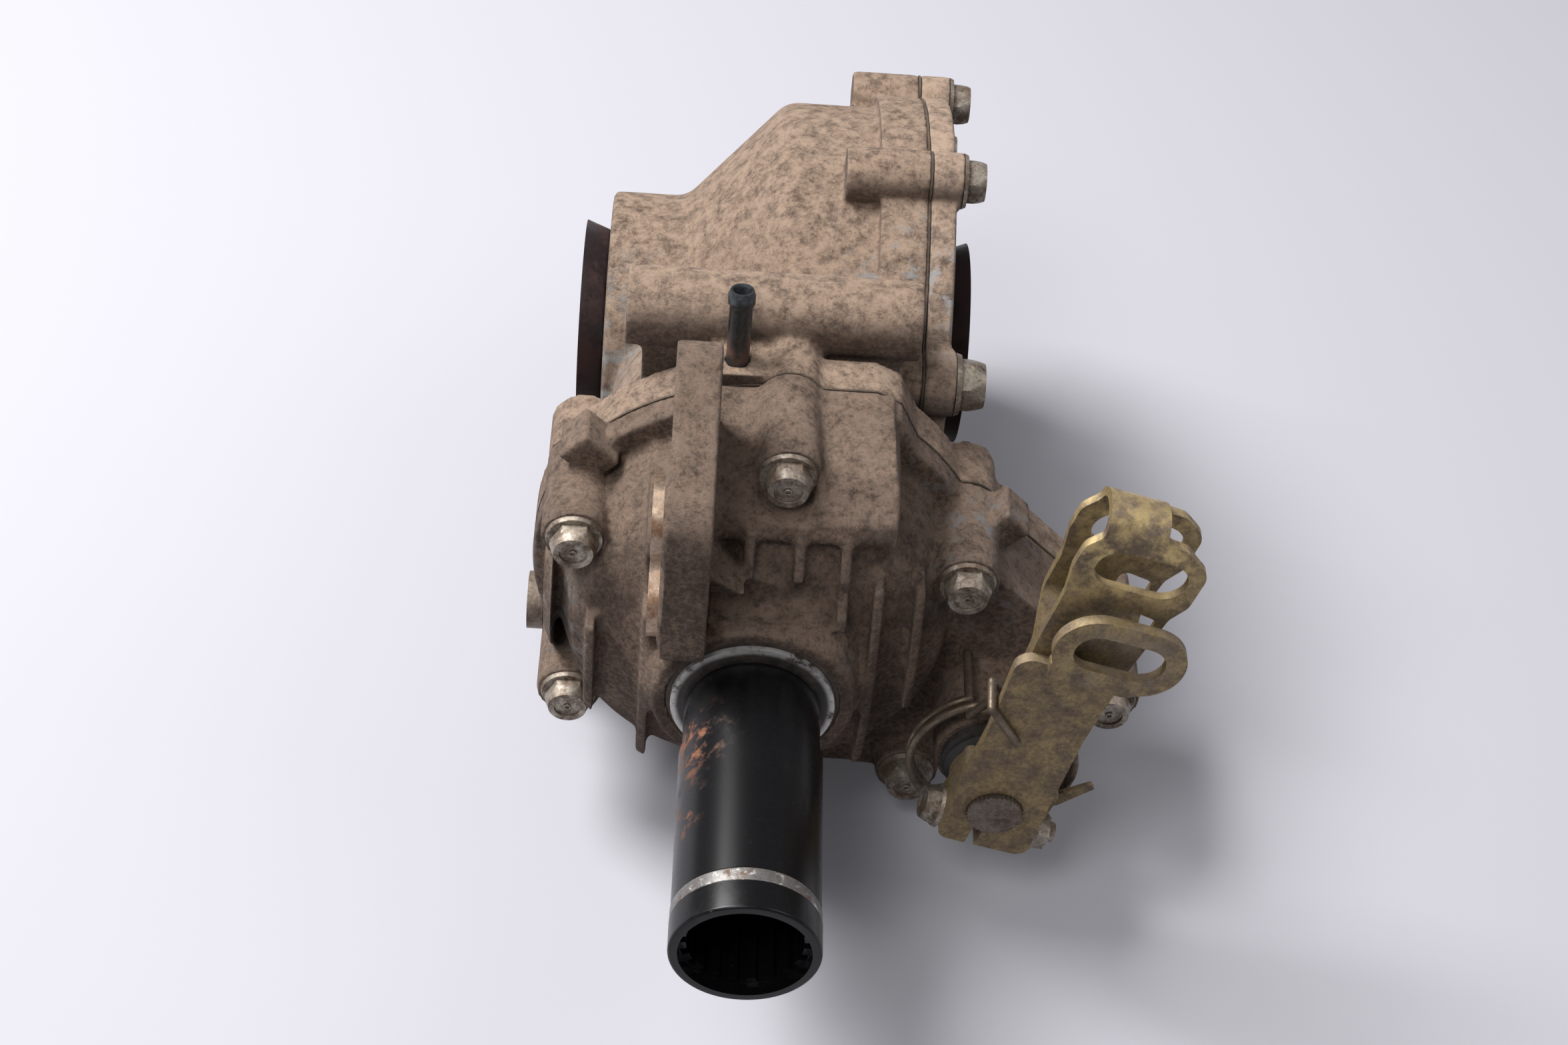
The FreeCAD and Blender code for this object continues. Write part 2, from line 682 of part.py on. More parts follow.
def case_barrels():
    """Barrels on the main case that take the side cover bolts."""
    barrels = []
    for index, (y, z, radius) in enumerate(side_spots()):
        extra = LONG_BARREL_EXTRA if index == LONG_BARREL_INDEX else 0.0
        barrels.append(rod_x(radius, SIDE_JOINT - BARREL_DEPTH - extra, SIDE_JOINT, y, z))
    return barrels


def mount_tube():
    """The upper mounting tube, the deck behind it and the breather pad."""
    half = MOUNT_LENGTH / 2
    web = MOUNT_WEB_LENGTH / 2
    tube = Part.makeCylinder(MOUNT_OUTER_R, MOUNT_LENGTH, Vec(-half, 0, 0), X_AXIS)
    deck = prism_x([
        (-MOUNT_OUTER_R + 3.0, AXIS_DROP - MOUNT_WEB_DROP, 0), (-MOUNT_OUTER_R + 3.0, AXIS_DROP, 0),
        (6.0, AXIS_DROP + MOUNT_OUTER_R - 2.0, 5.0),
        (OUTPUT_SETBACK - 20.0, COLLAR_R - 4.0, 0), (OUTPUT_SETBACK - 20.0, 0, 0),
    ], -web, web)
    foot = Vec(BREATHER_X, BREATHER_Y, BREATHER_PAD_TOP - PAD_DEPTH)
    pad = Part.makeCylinder(PAD_R, PAD_DEPTH, foot, Z_AXIS)
    return [tube, deck, pad.cut(rod_y(COVER_R * 2, JOINT_Y - PAD_R * 2, JOINT_Y))]


def case_feet():
    """Two cast feet under the gear housing."""
    half = FOOT_LENGTH / 2
    bottom = AXIS_DROP - FOOT_DROP
    outline = [
        (OUTPUT_SETBACK - half, bottom, 2.0), (OUTPUT_SETBACK + half, bottom, 2.0),
        (OUTPUT_SETBACK + half * 0.7, bottom / 2, 0), (OUTPUT_SETBACK - half * 0.7, bottom / 2, 0),
    ]
    left = FOOT_SHIFT - FOOT_SPAN / 2
    right = FOOT_SHIFT + FOOT_SPAN / 2
    return [prism_x(outline, left, left + 14.0), prism_x(outline, right - 14.0, right)]


def case_cuts():
    """Everything taken out of the main case."""
    bearing_start = -COLLAR_FACE + OUTPUT_SEAL_WIDTH
    bearing_end = bearing_start + SIDE_BEARING[2]
    inner_r = RING_HOUSING_R - CASE_WALL
    cuts = [rod_x(OUTPUT_SEAL_R + FIT, -COLLAR_FACE - 1.0, bearing_start + 0.1)]
    cuts.append(rod_x(SIDE_BOLT_R + BARREL_R + WORKING_GAP, SIDE_JOINT, SIDE_FACE_X + 20.0))
    cuts.append(rod_x(SIDE_BEARING[1] + FIT, bearing_start, bearing_end))
    cuts.append(turned_x([
        (bearing_end - 0.1, 0, 0), (bearing_end - 0.1, SIDE_BEARING[1] + FIT, 0),
        (-COLLAR_FACE + COLLAR_RUN + 3.0, SIDE_BEARING[1] + 2.0, 0),
        (SLOPE_END + 3.0, inner_r, 6.0), (SIDE_JOINT + 1.0, inner_r, 0), (SIDE_JOINT + 1.0, 0, 0),
    ]))
    cuts.append(rod_y(LOCK_RING_R + FIT - 1.0, CAM_RING_Y - 2.0, PINION_BEARING_Y))
    cuts.append(rod_y(PINION_BEARING[1] + FIT, PINION_BEARING_Y - 1.0, PINION_SHOULDER_Y))
    cuts.append(rod_y(PINION_BEARING[1] - 4.0, PINION_SHOULDER_Y - 1.0, OUTPUT_SETBACK - 20.0))
    cuts.append(Part.makeCylinder(MOUNT_BORE_R, MOUNT_LENGTH + 20, Vec(-MOUNT_LENGTH / 2 - 10, 0, 0), X_AXIS))
    for x, z in cover_bolt_spots():
        cuts.append(rod_y(M8_BOLT[4] + FIT, JOINT_Y - 1.0, JOINT_Y + BOLT_GRIP, x, z))
    for index, (y, z, radius) in enumerate(side_spots()):
        size = M10_BOLT if index == LARGE_BOLT_INDEX else M8_BOLT
        cuts.append(rod_x(size[4] + FIT, SIDE_JOINT - BOLT_GRIP, SIDE_JOINT + 1.0, y, z))
    cuts.append(placed(Part.makeCylinder(BREATHER_R + FIT, 9.0, Vec(0, 0, -8.0), Z_AXIS),
                       breather_foot(), breather_way()))
    cuts.append(rod_x(PLUG_R + FIT, -66.0, -54.0, -OUTPUT_SETBACK - 4.0, -50.0))
    for y, z in dowel_spots():
        cuts.append(rod_x(DOWEL_R + FIT, SIDE_JOINT - DOWEL_LENGTH / 2, SIDE_JOINT + 1.0, y, z))
    return cuts


def breather_foot():
    """Where the breather tube enters the main case."""
    return Vec(BREATHER_X, BREATHER_Y, BREATHER_PAD_TOP)


def breather_way():
    """Direction of the breather tube, leaning back a little."""
    up, back = flat(BREATHER_TILT)
    return Vec(0, back, up)


def dowel_spots():
    """Y and Z offsets, from the output axis, of the two side cover dowels."""
    spots = []
    for angle in (72.0, 270.0):
        along, up = flat(angle)
        spots.append((SIDE_FLANGE_R * 0.93 * along, SIDE_FLANGE_R * 0.93 * up))
    return spots


def side_cover():
    """The ribbed cover that carries the bearing and seal on the ring gear's side."""
    inner = SIDE_BEARING_X
    seal_start = inner + SIDE_BEARING[2]
    solids = [rod_x(SIDE_FLANGE_R, SIDE_PLATE_X, SIDE_PLATE_X + 5.0)]
    solids.append(rod_x(SIDE_HUB_R, inner - 1.0, SIDE_FACE_X))
    solids.append(ring_x(SIDE_FLANGE_R, SIDE_FLANGE_R - 9.0, SIDE_PLATE_X, SIDE_FACE_X - 1.5))
    rib = Part.makeBox(SIDE_PLATE - 2.5, SIDE_FLANGE_R - 4.0, SIDE_RIB_WIDTH,
                       Vec(SIDE_PLATE_X, OUTPUT_SETBACK, AXIS_Z - SIDE_RIB_WIDTH / 2))
    for index in range(SIDE_RIBS):
        solids.append(around_x(rib, 360 * (index + 0.5) / SIDE_RIBS))
    for y, z, radius in side_spots():
        solids.append(rod_x(radius, SIDE_PLATE_X, SIDE_FACE_X, y, z))
    cover = fuse(solids)
    cuts = [rod_x(SIDE_BEARING[1] + FIT, inner - 2.0, seal_start)]
    cuts.append(rod_x(OUTPUT_SEAL_R + FIT, seal_start - 1.0, SIDE_FACE_X + 1.0))
    for index, (y, z, radius) in enumerate(side_spots()):
        size = M10_BOLT if index == LARGE_BOLT_INDEX else M8_BOLT
        cuts.append(rod_x(size[4] + 0.3, SIDE_PLATE_X - 1.0, SIDE_FACE_X + 1.0, y, z))
    for y, z in dowel_spots():
        cuts.append(rod_x(DOWEL_R + FIT, SIDE_PLATE_X - 1.0, SIDE_PLATE_X + DOWEL_LENGTH / 2 - 1.0, y, z))
    return cover.cut(cuts).removeSplitter()


def front_gasket():
    """The thin gasket between the front cover and the main case."""
    holes = [rod_y(EAR_REACH + 1.5, COVER_BACK_Y - 1.0, JOINT_Y + 1.0), cam_pocket()]
    for x, z in cover_bolt_spots():
        holes.append(rod_y(M8_BOLT[4] + 0.3, COVER_BACK_Y - 1.0, JOINT_Y + 1.0, x, z))
    return flange_plate(COVER_BACK_Y, JOINT_Y).cut(holes)


def side_gasket():
    """The thin gasket between the side cover and the main case."""
    solids = [rod_x(SIDE_FLANGE_R, SIDE_JOINT, SIDE_PLATE_X)]
    for y, z, radius in side_spots():
        solids.append(rod_x(radius, SIDE_JOINT, SIDE_PLATE_X, y, z))
    gasket = fuse(solids)
    holes = [rod_x(RING_HOUSING_R - CASE_WALL, SIDE_JOINT - 1.0, SIDE_PLATE_X + 1.0)]
    for index, (y, z, radius) in enumerate(side_spots()):
        size = M10_BOLT if index == LARGE_BOLT_INDEX else M8_BOLT
        holes.append(rod_x(size[4] + 0.3, SIDE_JOINT - 1.0, SIDE_PLATE_X + 1.0, y, z))
    for y, z in dowel_spots():
        holes.append(rod_x(DOWEL_R + FIT, SIDE_JOINT - 1.0, SIDE_PLATE_X + 1.0, y, z))
    return gasket.cut(holes)


def cover_bolts():
    """The flange bolts that hold the front cover."""
    length = COVER_SEAT - COVER_JOINT + BOLT_GRIP - 2.0
    bolts = []
    for x, z in cover_bolt_spots():
        bolts.append(seated(M8_BOLT, length, Vec(x, -COVER_SEAT, AXIS_Z + z), -Y_AXIS))
    return Part.makeCompound(bolts)


def side_bolts():
    """The flange bolts that hold the side cover, without the large one."""
    length = SIDE_PLATE + GASKET + BOLT_GRIP - 2.0
    bolts = []
    for index, (y, z, radius) in enumerate(side_spots()):
        if index != LARGE_BOLT_INDEX:
            spot = Vec(SIDE_FACE_X, OUTPUT_SETBACK + y, AXIS_Z + z)
            bolts.append(seated(M8_BOLT, length, spot, X_AXIS))
    return Part.makeCompound(bolts)


def large_side_bolt():
    """The larger flange bolt low at the front of the side cover."""
    y, z, radius = side_spots()[LARGE_BOLT_INDEX]
    length = SIDE_PLATE + GASKET + BOLT_GRIP - 2.0
    spot = Vec(SIDE_FACE_X, OUTPUT_SETBACK + y, AXIS_Z + z)
    return seated(M10_BOLT, length, spot, X_AXIS)


def dowels():
    """The two dowels that line up the side cover."""
    pins = []
    start = SIDE_JOINT - DOWEL_LENGTH / 2 + 0.3
    for y, z in dowel_spots():
        pins.append(rod_x(DOWEL_R, start, start + DOWEL_LENGTH - 1.0, y, z))
    return Part.makeCompound(pins)


def breather():
    """The bent-lip breather nipple pressed into its pad."""
    profile = [
        (BREATHER_BORE_R, -7.0), (BREATHER_R, -7.0), (BREATHER_R, BREATHER_HEIGHT - 5.0),
        (BREATHER_LIP_R, BREATHER_HEIGHT - 4.0), (BREATHER_LIP_R, BREATHER_HEIGHT - 1.5),
        (BREATHER_R, BREATHER_HEIGHT), (BREATHER_BORE_R + 0.4, BREATHER_HEIGHT),
        (BREATHER_BORE_R, BREATHER_HEIGHT - 0.8),
    ]
    points = [Vec(r, 0, z) for r, z in profile]
    face = Part.Face(Part.makePolygon(points + points[:1]))
    return placed(face.revolve(Vec(0, 0, 0), Z_AXIS, 360), breather_foot(), breather_way())


def filler_plug():
    """The round oil level plug at the end of its boss on the left."""
    y = -OUTPUT_SETBACK - 4.0
    head = rod_x(PLUG_BOSS_R - 3.0, -69.0, -64.0 - FIT, y, -50.0)
    shank = rod_x(PLUG_R, -65.0, -55.0, y, -50.0)
    socket = Part.makeBox(3.0, 6.0, 6.0, Vec(-69.5, OUTPUT_SETBACK + y - 3.0, AXIS_Z - 53.0))
    return fuse([head, shank]).cut(socket)


def bushing(index):
    """One steel bushing pressed through the lug."""
    height = LUG_HOLE_HEIGHTS[index]
    length = LUG_WIDTH + LUG_SLEEVE_PROUD
    spot = Vec(LUG_LEFT - LUG_SLEEVE_PROUD, -LUG_HOLE_REACH, AXIS_Z + height)
    outer = Part.makeCylinder(LUG_SLEEVE_R, length, spot, X_AXIS)
    inner = Part.makeCylinder(LUG_SLEEVE_BORE_R, length + 2, spot - X_AXIS, X_AXIS)
    return outer.cut(inner)


def bearing(ring, start, size):
    """Outer and inner rings of a sealed bearing, where ring makes a ring about the axis."""
    inner_r, outer_r, width = size
    race = (outer_r - inner_r) * RACE_SHARE
    middle = start + width / 2
    shields = []
    for edge in (start + 0.6, start + width - 1.4):
        shields.append(ring(outer_r - race + 0.2, inner_r + race + RUNNING_FIT * 2, edge, edge + 0.8))
    outer = fuse([ring(outer_r, outer_r - race, start, start + width)] + shields)
    groove = ring(inner_r + race + 1, inner_r + race - 1.0, middle - 1.5, middle + 1.5)
    inner = ring(inner_r + race, inner_r + FIT, start, start + width).cut(groove)
    return outer, inner


def input_seal():
    """The oil seal in the front cover with its steel case and dust lip."""
    start = -SEAL_REACH
    body = turned_y([
        (start, SEAL_R, 0), (start + SEAL_WIDTH, SEAL_R, 0), (start + SEAL_WIDTH, SEAL_R - 1.6, 0),
        (start + 2.0, SEAL_R - 1.6, 0), (start + 2.0, SLEEVE_SEAT_R + 2.5, 0),
        (start + SEAL_WIDTH - 1.0, SLEEVE_SEAT_R + 2.2, 0), (start + 4.6, SLEEVE_SEAT_R + RUNNING_FIT, 0),
        (start, SLEEVE_SEAT_R + RUNNING_FIT, 0),
    ])
    return body


def output_seal(start, mouth):
    """An oil seal about the output axis; mouth is the side its flat face looks to."""
    near, far = (start, start + OUTPUT_SEAL_WIDTH)
    if mouth > 0:
        near, far = far, near
    step = (far - near) / OUTPUT_SEAL_WIDTH
    lip = OUTPUT_SEAL_LIP_R
    return turned_x([
        (near, OUTPUT_SEAL_R, 0), (far, OUTPUT_SEAL_R, 0), (far, OUTPUT_SEAL_R - 1.5, 0),
        (near + 1.6 * step, OUTPUT_SEAL_R - 1.5, 0), (near + 1.6 * step, lip + 2.4, 0),
        (far - step, lip + 2.0, 0), (near + 2.6 * step, lip, 0), (near, lip, 0),
    ])


def guard(face, side):
    """The flared dust guard outside an output seal; side is -1 on the left and 1 on the right."""
    sheet = GUARD_SHEET
    rim = face + side * GUARD_FLARE
    foot = face + side * FIT
    return turned_x([
        (foot, OUTPUT_SEAL_LIP_R + 2.0, 0), (foot, OUTPUT_SEAL_R + 2.0, 2.0), (rim, GUARD_R, 0),
        (rim, GUARD_R - sheet * 1.3, 0), (foot + side * sheet, OUTPUT_SEAL_R + 0.4, 1.5),
        (foot + side * sheet, OUTPUT_SEAL_LIP_R + 2.0, 0),
    ])


def input_sleeve():
    """The long coupling sleeve: lip, band groove, stepped body and splined inside."""
    neck_end = -SEAL_REACH
    lip_end = MOUTH_Y + SLEEVE_LIP
    band_end = lip_end + BAND_WIDTH
    step = neck_end - SLEEVE_NECK
    groove = step - GROOVE_WIDTH
    body = turned_y([
        (MOUTH_Y, 0, 0), (MOUTH_Y, SLEEVE_LIP_R, 0.8), (lip_end, SLEEVE_LIP_R, 0),
        (lip_end, SLEEVE_R - BAND_DEPTH, 0), (band_end, SLEEVE_R - BAND_DEPTH, 0),
        (band_end, SLEEVE_R, 0), (groove, SLEEVE_R, 0), (groove, SLEEVE_R - GROOVE_DEPTH, 0),
        (step, SLEEVE_R - GROOVE_DEPTH, 0), (step, SLEEVE_NECK_R, 0), (neck_end - 4.0, SLEEVE_NECK_R, 0),
        (neck_end - 4.0, SLEEVE_SEAT_R, 0), (FRONT_BEARING_Y - 0.1, SLEEVE_SEAT_R, 0),
        (FRONT_BEARING_Y - 0.1, 0, 0),
    ])
    splined = MOUTH_Y + SLEEVE_MOUTH
    cutter = spline_bore(SLEEVE_BORE_R, SPLINE_DEPTH, SPLINE_TEETH, SLEEVE_SPLINE)
    cuts = [
        rod_y(SLEEVE_BORE_R + 0.3, MOUTH_Y - 1.0, splined),
        placed(cutter, Vec(0, splined + SLEEVE_SPLINE, AXIS_Z), -Y_AXIS),
        rod_y(SLEEVE_BORE_R - 1.2, splined + SLEEVE_SPLINE - 0.1, HUB_FRONT_Y),
        rod_y(SHAFT_R + FIT, HUB_FRONT_Y - 1.0, FRONT_BEARING_Y + 1.0),
    ]
    return body.cut(cuts)


def sleeve_band():
    """The steel retaining band in the sleeve's groove."""
    start = MOUTH_Y + SLEEVE_LIP + FIT
    end = start + BAND_WIDTH - 2 * FIT
    outer = SLEEVE_LIP_R - 0.1
    profile = [(start, SLEEVE_R - BAND_DEPTH + FIT, 0), (start, outer, 0.6), (end, outer, 0.6),
               (end, SLEEVE_R - BAND_DEPTH + FIT, 0)]
    return turned_y(profile)


def dust_disc():
    """The steel disc on the sleeve that keeps dirt off the input seal."""
    front = -SEAL_REACH - DUST_DISC - 0.4
    return ring_y(DUST_DISC_R, SLEEVE_SEAT_R + FIT, front, front + DUST_DISC)


def pinion_nut():
    """The hexagon nut that clamps the sleeve on the pinion shaft."""
    front = HUB_FRONT_Y - NUT_HEIGHT
    points = [Vec(PINION_NUT_R * flat(60 * i)[0], 0, PINION_NUT_R * flat(60 * i)[1]) for i in range(7)]
    prism = Part.Face(Part.makePolygon(points)).extrude(Y_AXIS * NUT_HEIGHT)
    prism.translate(Vec(0, front - FIT, AXIS_Z))
    return prism.cut(rod_y(SHAFT_THREAD_R + FIT, front - 1.0, HUB_FRONT_Y + 1.0))


def involute_turn(base, cone):
    """Turn of a spherical involute from its base cone to another cone, in radians."""
    if cone <= base:
        return 0.0
    rolled = math.acos(math.cos(cone) / math.cos(base)) / math.sin(base)
    return rolled - math.acos(math.tan(base) / math.tan(cone))


def tooth_section(cones, halves, pitch, distance, turn):
    """One flat section of a bevel tooth, square to its pitch line at a distance from the apex."""
    across = Vec(math.sin(pitch), 0, math.cos(pitch))
    points = []
    for side in (1, -1):
        order = range(len(cones)) if side == 1 else reversed(range(len(cones)))
        for index in order:
            cone = cones[index]
            angle = side * halves[index]
            ray = Vec(math.sin(cone) * math.cos(angle), math.sin(cone) * math.sin(angle), math.cos(cone))
            points.append(ray * (distance / ray.dot(across)))
    wire = Part.makePolygon(points + points[:1])
    wire.rotate(Vec(0, 0, 0), Z_AXIS, math.degrees(turn))
    return wire


def bevel_teeth(teeth, mate, module, face, addendum, dedendum, spiral, backlash):
    """Teeth of a bevel gear about +Z with its apex at the origin, with the first tooth on +X."""
    pitch = math.atan2(teeth, mate)
    outer = module / 2 * math.hypot(teeth, mate)
    tip = pitch + math.atan(addendum * module / outer)
    root = pitch - math.atan(dedendum * module / outer)
    base = math.asin(math.sin(pitch) * math.cos(math.radians(GEAR_PRESSURE_ANGLE)))
    sunk = root - math.radians(1.0)
    cones = [sunk] + [root + (tip - root) * share for share in (0.0, 0.35, 0.7, 1.0)]
    at_pitch = math.pi / teeth / 2 - backlash / (2 * module * teeth)
    halves = [at_pitch + involute_turn(base, pitch) - involute_turn(base, cone) for cone in cones]
    spans = 3 if spiral else 1
    middle = outer - face / 2
    wires = []
    for index in range(spans + 1):
        distance = outer - face + face * index / spans
        turn = math.tan(math.radians(spiral)) * math.log(distance / middle) / math.sin(pitch)
        wires.append(tooth_section(cones, halves, pitch, distance, turn))
    tooth = Part.makeLoft(wires, True, True)
    copies = []
    for index in range(teeth):
        copy = tooth.copy()
        copy.rotate(Vec(0, 0, 0), Z_AXIS, 360 * index / teeth)
        copies.append(copy)
    return copies


def root_line(teeth, mate, module, face, dedendum):
    """Inner and outer points (z, r) of a bevel gear's root cone."""
    pitch = math.atan2(teeth, mate)
    outer = module / 2 * math.hypot(teeth, mate)
    drop = math.atan(dedendum * module / outer)
    points = []
    for distance in (outer - face, outer):
        slant = distance / math.cos(drop)
        points.append((slant * math.cos(pitch - drop), slant * math.sin(pitch - drop)))
    return points


def turned_blank(points):
    """A gear blank turned about +Z from (z, radius) points."""
    corners = [Vec(r, 0, z) for z, r in points]
    return Part.Face(Part.makePolygon(corners + corners[:1])).revolve(Vec(0, 0, 0), Z_AXIS, 360)


def oriented(shape, x_to, y_to, z_to, origin):
    """The shape with its own axes laid along three directions from an origin."""
    matrix = FreeCAD.Matrix(x_to.x, y_to.x, z_to.x, origin.x, x_to.y, y_to.y, z_to.y, origin.y,
                            x_to.z, y_to.z, z_to.z, origin.z, 0, 0, 0, 1)
    moved = shape.copy()
    moved.Placement = FreeCAD.Placement(matrix).multiply(moved.Placement)
    return moved


APEX = Vec(0, OUTPUT_SETBACK, AXIS_Z)
RING_ROOT = root_line(RING_TEETH, PINION_TEETH, GEAR_MODULE, GEAR_FACE, PINION_ADDENDUM + ROOT_CLEARANCE)
RING_BACK_X = RING_ROOT[1][0] + RING_WEB
SIDE_BEARING_X = RING_BACK_X + CARRIER_FLANGE + WORKING_GAP * 2


def ring_gear():
    """The spiral bevel ring gear with threaded holes in its back."""
    (z_in, r_in), (z_out, r_out) = RING_ROOT
    blank = turned_blank([
        (z_in, r_in), (z_out, r_out), (z_out + 2.5, r_out + 1.5), (RING_BACK_X, r_out + 1.5),
        (RING_BACK_X, RING_BORE_R), (z_in + 1.5, RING_BORE_R), (z_in, RING_BORE_R + 1.5),
    ])
    teeth = bevel_teeth(RING_TEETH, PINION_TEETH, GEAR_MODULE, GEAR_FACE, RING_ADDENDUM,
                        PINION_ADDENDUM + ROOT_CLEARANCE, GEAR_SPIRAL, GEAR_BACKLASH)
    gear = blank.multiFuse(teeth)
    gear = oriented(gear, -Y_AXIS, -Z_AXIS, X_AXIS, APEX)
    holes = []
    for y, z in ring_bolt_spots():
        holes.append(rod_x(M6_BOLT[4] + FIT, RING_BACK_X - 8.5, RING_BACK_X + 1.0, y, z))
    return gear.cut(holes)


def ring_bolt_spots():
    """Y and Z offsets, from the output axis, of the ring gear bolts."""
    spots = []
    for index in range(RING_BOLTS):
        along, up = flat(360 * (index + 0.5) / RING_BOLTS)
        spots.append((RING_BOLT_R * along, RING_BOLT_R * up))
    return spots


def ring_bolts():
    """The bolts that hold the ring gear on the carrier flange."""
    bolts = []
    for y, z in ring_bolt_spots():
        spot = Vec(RING_BACK_X + CARRIER_FLANGE, OUTPUT_SETBACK + y, AXIS_Z + z)
        bolts.append(seated(M6_BOLT, CARRIER_FLANGE + 8.0, spot, X_AXIS))
    return Part.makeCompound(bolts)


def pinion_shaft():
    """The spiral bevel pinion with its stepped shaft, from the nut thread to the head."""
    rear = (PINION_TEETH, RING_TEETH, GEAR_MODULE, GEAR_FACE, RING_ADDENDUM + ROOT_CLEARANCE)
    (z_in, r_in), (z_out, r_out) = root_line(*rear)
    teeth = bevel_teeth(PINION_TEETH, RING_TEETH, GEAR_MODULE, GEAR_FACE, PINION_ADDENDUM,
                        RING_ADDENDUM + ROOT_CLEARANCE, -GEAR_SPIRAL, GEAR_BACKLASH)
    shoulder = OUTPUT_SETBACK - PINION_SHOULDER_Y
    blank = turned_blank([
        (z_in, 0), (z_in, r_in), (z_out, r_out), (z_out + 1.5, r_out), (shoulder, PINION_SEAT_R + 3.5),
        (shoulder, 0),
    ])
    head = blank.multiFuse(teeth)
    head.rotate(Vec(0, 0, 0), Z_AXIS, 180 / PINION_TEETH)
    head = oriented(head, X_AXIS, Z_AXIS, -Y_AXIS, APEX)
    nose = HUB_FRONT_Y - NUT_HEIGHT - 2.0
    shaft = turned_y([
        (nose, 0, 0), (nose, SHAFT_THREAD_R, 1.0), (HUB_FRONT_Y + 1.5, SHAFT_THREAD_R, 0),
        (HUB_FRONT_Y + 1.5, SHAFT_R, 0), (FRONT_BEARING_Y, SHAFT_R, 0), (FRONT_BEARING_Y, SHAFT_SEAT_R, 0),
        (CAM_RING_Y - 1.0, SHAFT_SEAT_R, 0), (CAM_RING_Y - 1.0, PINION_SEAT_R, 0),
        (PINION_SHOULDER_Y + 0.5, PINION_SEAT_R, 0), (PINION_SHOULDER_Y + 0.5, 0, 0),
    ])
    return head.fuse(shaft)


def lock_ring():
    """The slotted threaded ring that holds the pinion bearing."""
    front = PINION_BEARING_Y - LOCK_RING
    ring = ring_y(LOCK_RING_R - 1.0, PINION_BEARING[1] - 5.0, front, PINION_BEARING_Y - FIT)
    slots = []
    for index in range(4):
        slot = Part.makeBox(3.0, 2.0, 8.0, Vec(-1.5, front, AXIS_Z + LOCK_RING_R - 6.0))
        slots.append(around_y(slot, 90 * index + 45))
    return ring.cut(slots)


def brake_hub():
    """The splined hub that carries the friction discs."""
    start = BRAKE_WALL_Y + WORKING_GAP
    end = PRESSURE_Y + 1.0
    drum = ring_y(HUB_R, HUB_R - 5.0, start, end)
    web = ring_y(HUB_R - 4.0, SHAFT_SEAT_R + FIT, end - HUB_WEB, end)
    width = math.pi * HUB_R / HUB_TEETH
    grooves = []
    groove = Part.makeBox(5.0, 60.0, width, Vec(HUB_R - HUB_TOOTH, start - 5.0, AXIS_Z - width / 2))
    for index in range(HUB_TEETH):
        grooves.append(around_y(groove, 360 * index / HUB_TEETH))
    return drum.fuse(web).cut(Part.makeCompound(grooves))


def friction_discs():
    """The friction discs, toothed inside to ride on the hub."""
    width = math.pi * HUB_R / HUB_TEETH - 0.6
    discs = []
    for start in FRICTION_Y:
        ring = ring_y(DISC_OUTER_R, HUB_R + 0.3, start, start + FRICTION_DISC)
        corner = Vec(HUB_R - HUB_TOOTH + 0.3, start, AXIS_Z - width / 2)
        tooth = Part.makeBox(3.0, FRICTION_DISC, width, corner)
        teeth = [around_y(tooth, 360 * index / HUB_TEETH) for index in range(HUB_TEETH)]
        discs.append(ring.multiFuse(teeth))
    return Part.makeCompound(discs)


def eared_plate(start, thickness):
    """A steel ring with six outer ears that slide in the cover."""
    blank = ear_slots(-FIT).common(rod_y(PLATE_OUTER_R + 5.0, start, start + thickness))
    disc = rod_y(PLATE_OUTER_R, start, start + thickness)
    return disc.fuse(blank).cut(rod_y(PLATE_INNER_R, start - 1.0, start + thickness + 1.0)).removeSplitter()


def steel_plates():
    """The plain steel plates between the friction discs."""
    return Part.makeCompound([eared_plate(start, STEEL_PLATE) for start in STEEL_Y])


def pressure_plate():
    """The sliding plate with three round-nosed followers on its back."""
    back = PRESSURE_Y + PRESSURE_PLATE
    plate = eared_plate(PRESSURE_Y, PRESSURE_PLATE)
    centre = back + ROLLER_R * 0.25
    inner = RAMP_R - RAMP_WIDTH / 2 + 0.5
    noses = []
    for index in range(RAMP_COUNT):
        nose = Part.makeCylinder(ROLLER_R, RAMP_WIDTH - 1.0, Vec(0, centre, AXIS_Z + inner), Z_AXIS)
        neck = Part.makeBox(ROLLER_R * 2, ROLLER_R * 0.25 + 0.5, RAMP_WIDTH - 1.0,
                            Vec(-ROLLER_R, back - 0.5, AXIS_Z + inner))
        noses += [around_y(nose, 120 * index), around_y(neck, 120 * index)]
    return plate.multiFuse(noses).removeSplitter()


def sector_teeth(radius, centre, line, first, last, phase):
    """Involute teeth of a sector: tooth numbers run from first to last along the pitch circle."""
    pitch = math.pi * SECTOR_MODULE / radius
    pressure = math.radians(GEAR_PRESSURE_ANGLE)
    base = radius * math.cos(pressure)
    back = JOINT_Y - THRUST_GAP
    teeth = []
    for index in range(first, last + 1):
        middle = math.radians(line) + (index + phase) * pitch
        outline = []
        for height in (-1.9, -1.0, -0.5, 0.0, 0.45, 0.85):
            reach = radius + height * SECTOR_MODULE
            slope = math.acos(min(1.0, base / reach))
            grown = math.tan(pressure) - pressure - math.tan(slope) + slope
            outline.append((reach, pitch / 4 - SECTOR_BACKLASH / radius / 4 + grown))
        points = []
        for side in (1, -1):
            for reach, half in (outline if side == 1 else reversed(outline)):
                turn = middle + side * half
                x = centre[0] + reach * math.cos(turn)
                points.append(Vec(x, CAM_RING_Y, AXIS_Z + centre[1] + reach * math.sin(turn)))
        face = Part.Face(Part.makePolygon(points + points[:1]))
        teeth.append(face.extrude(Y_AXIS * (back - CAM_RING_Y)))
    return teeth


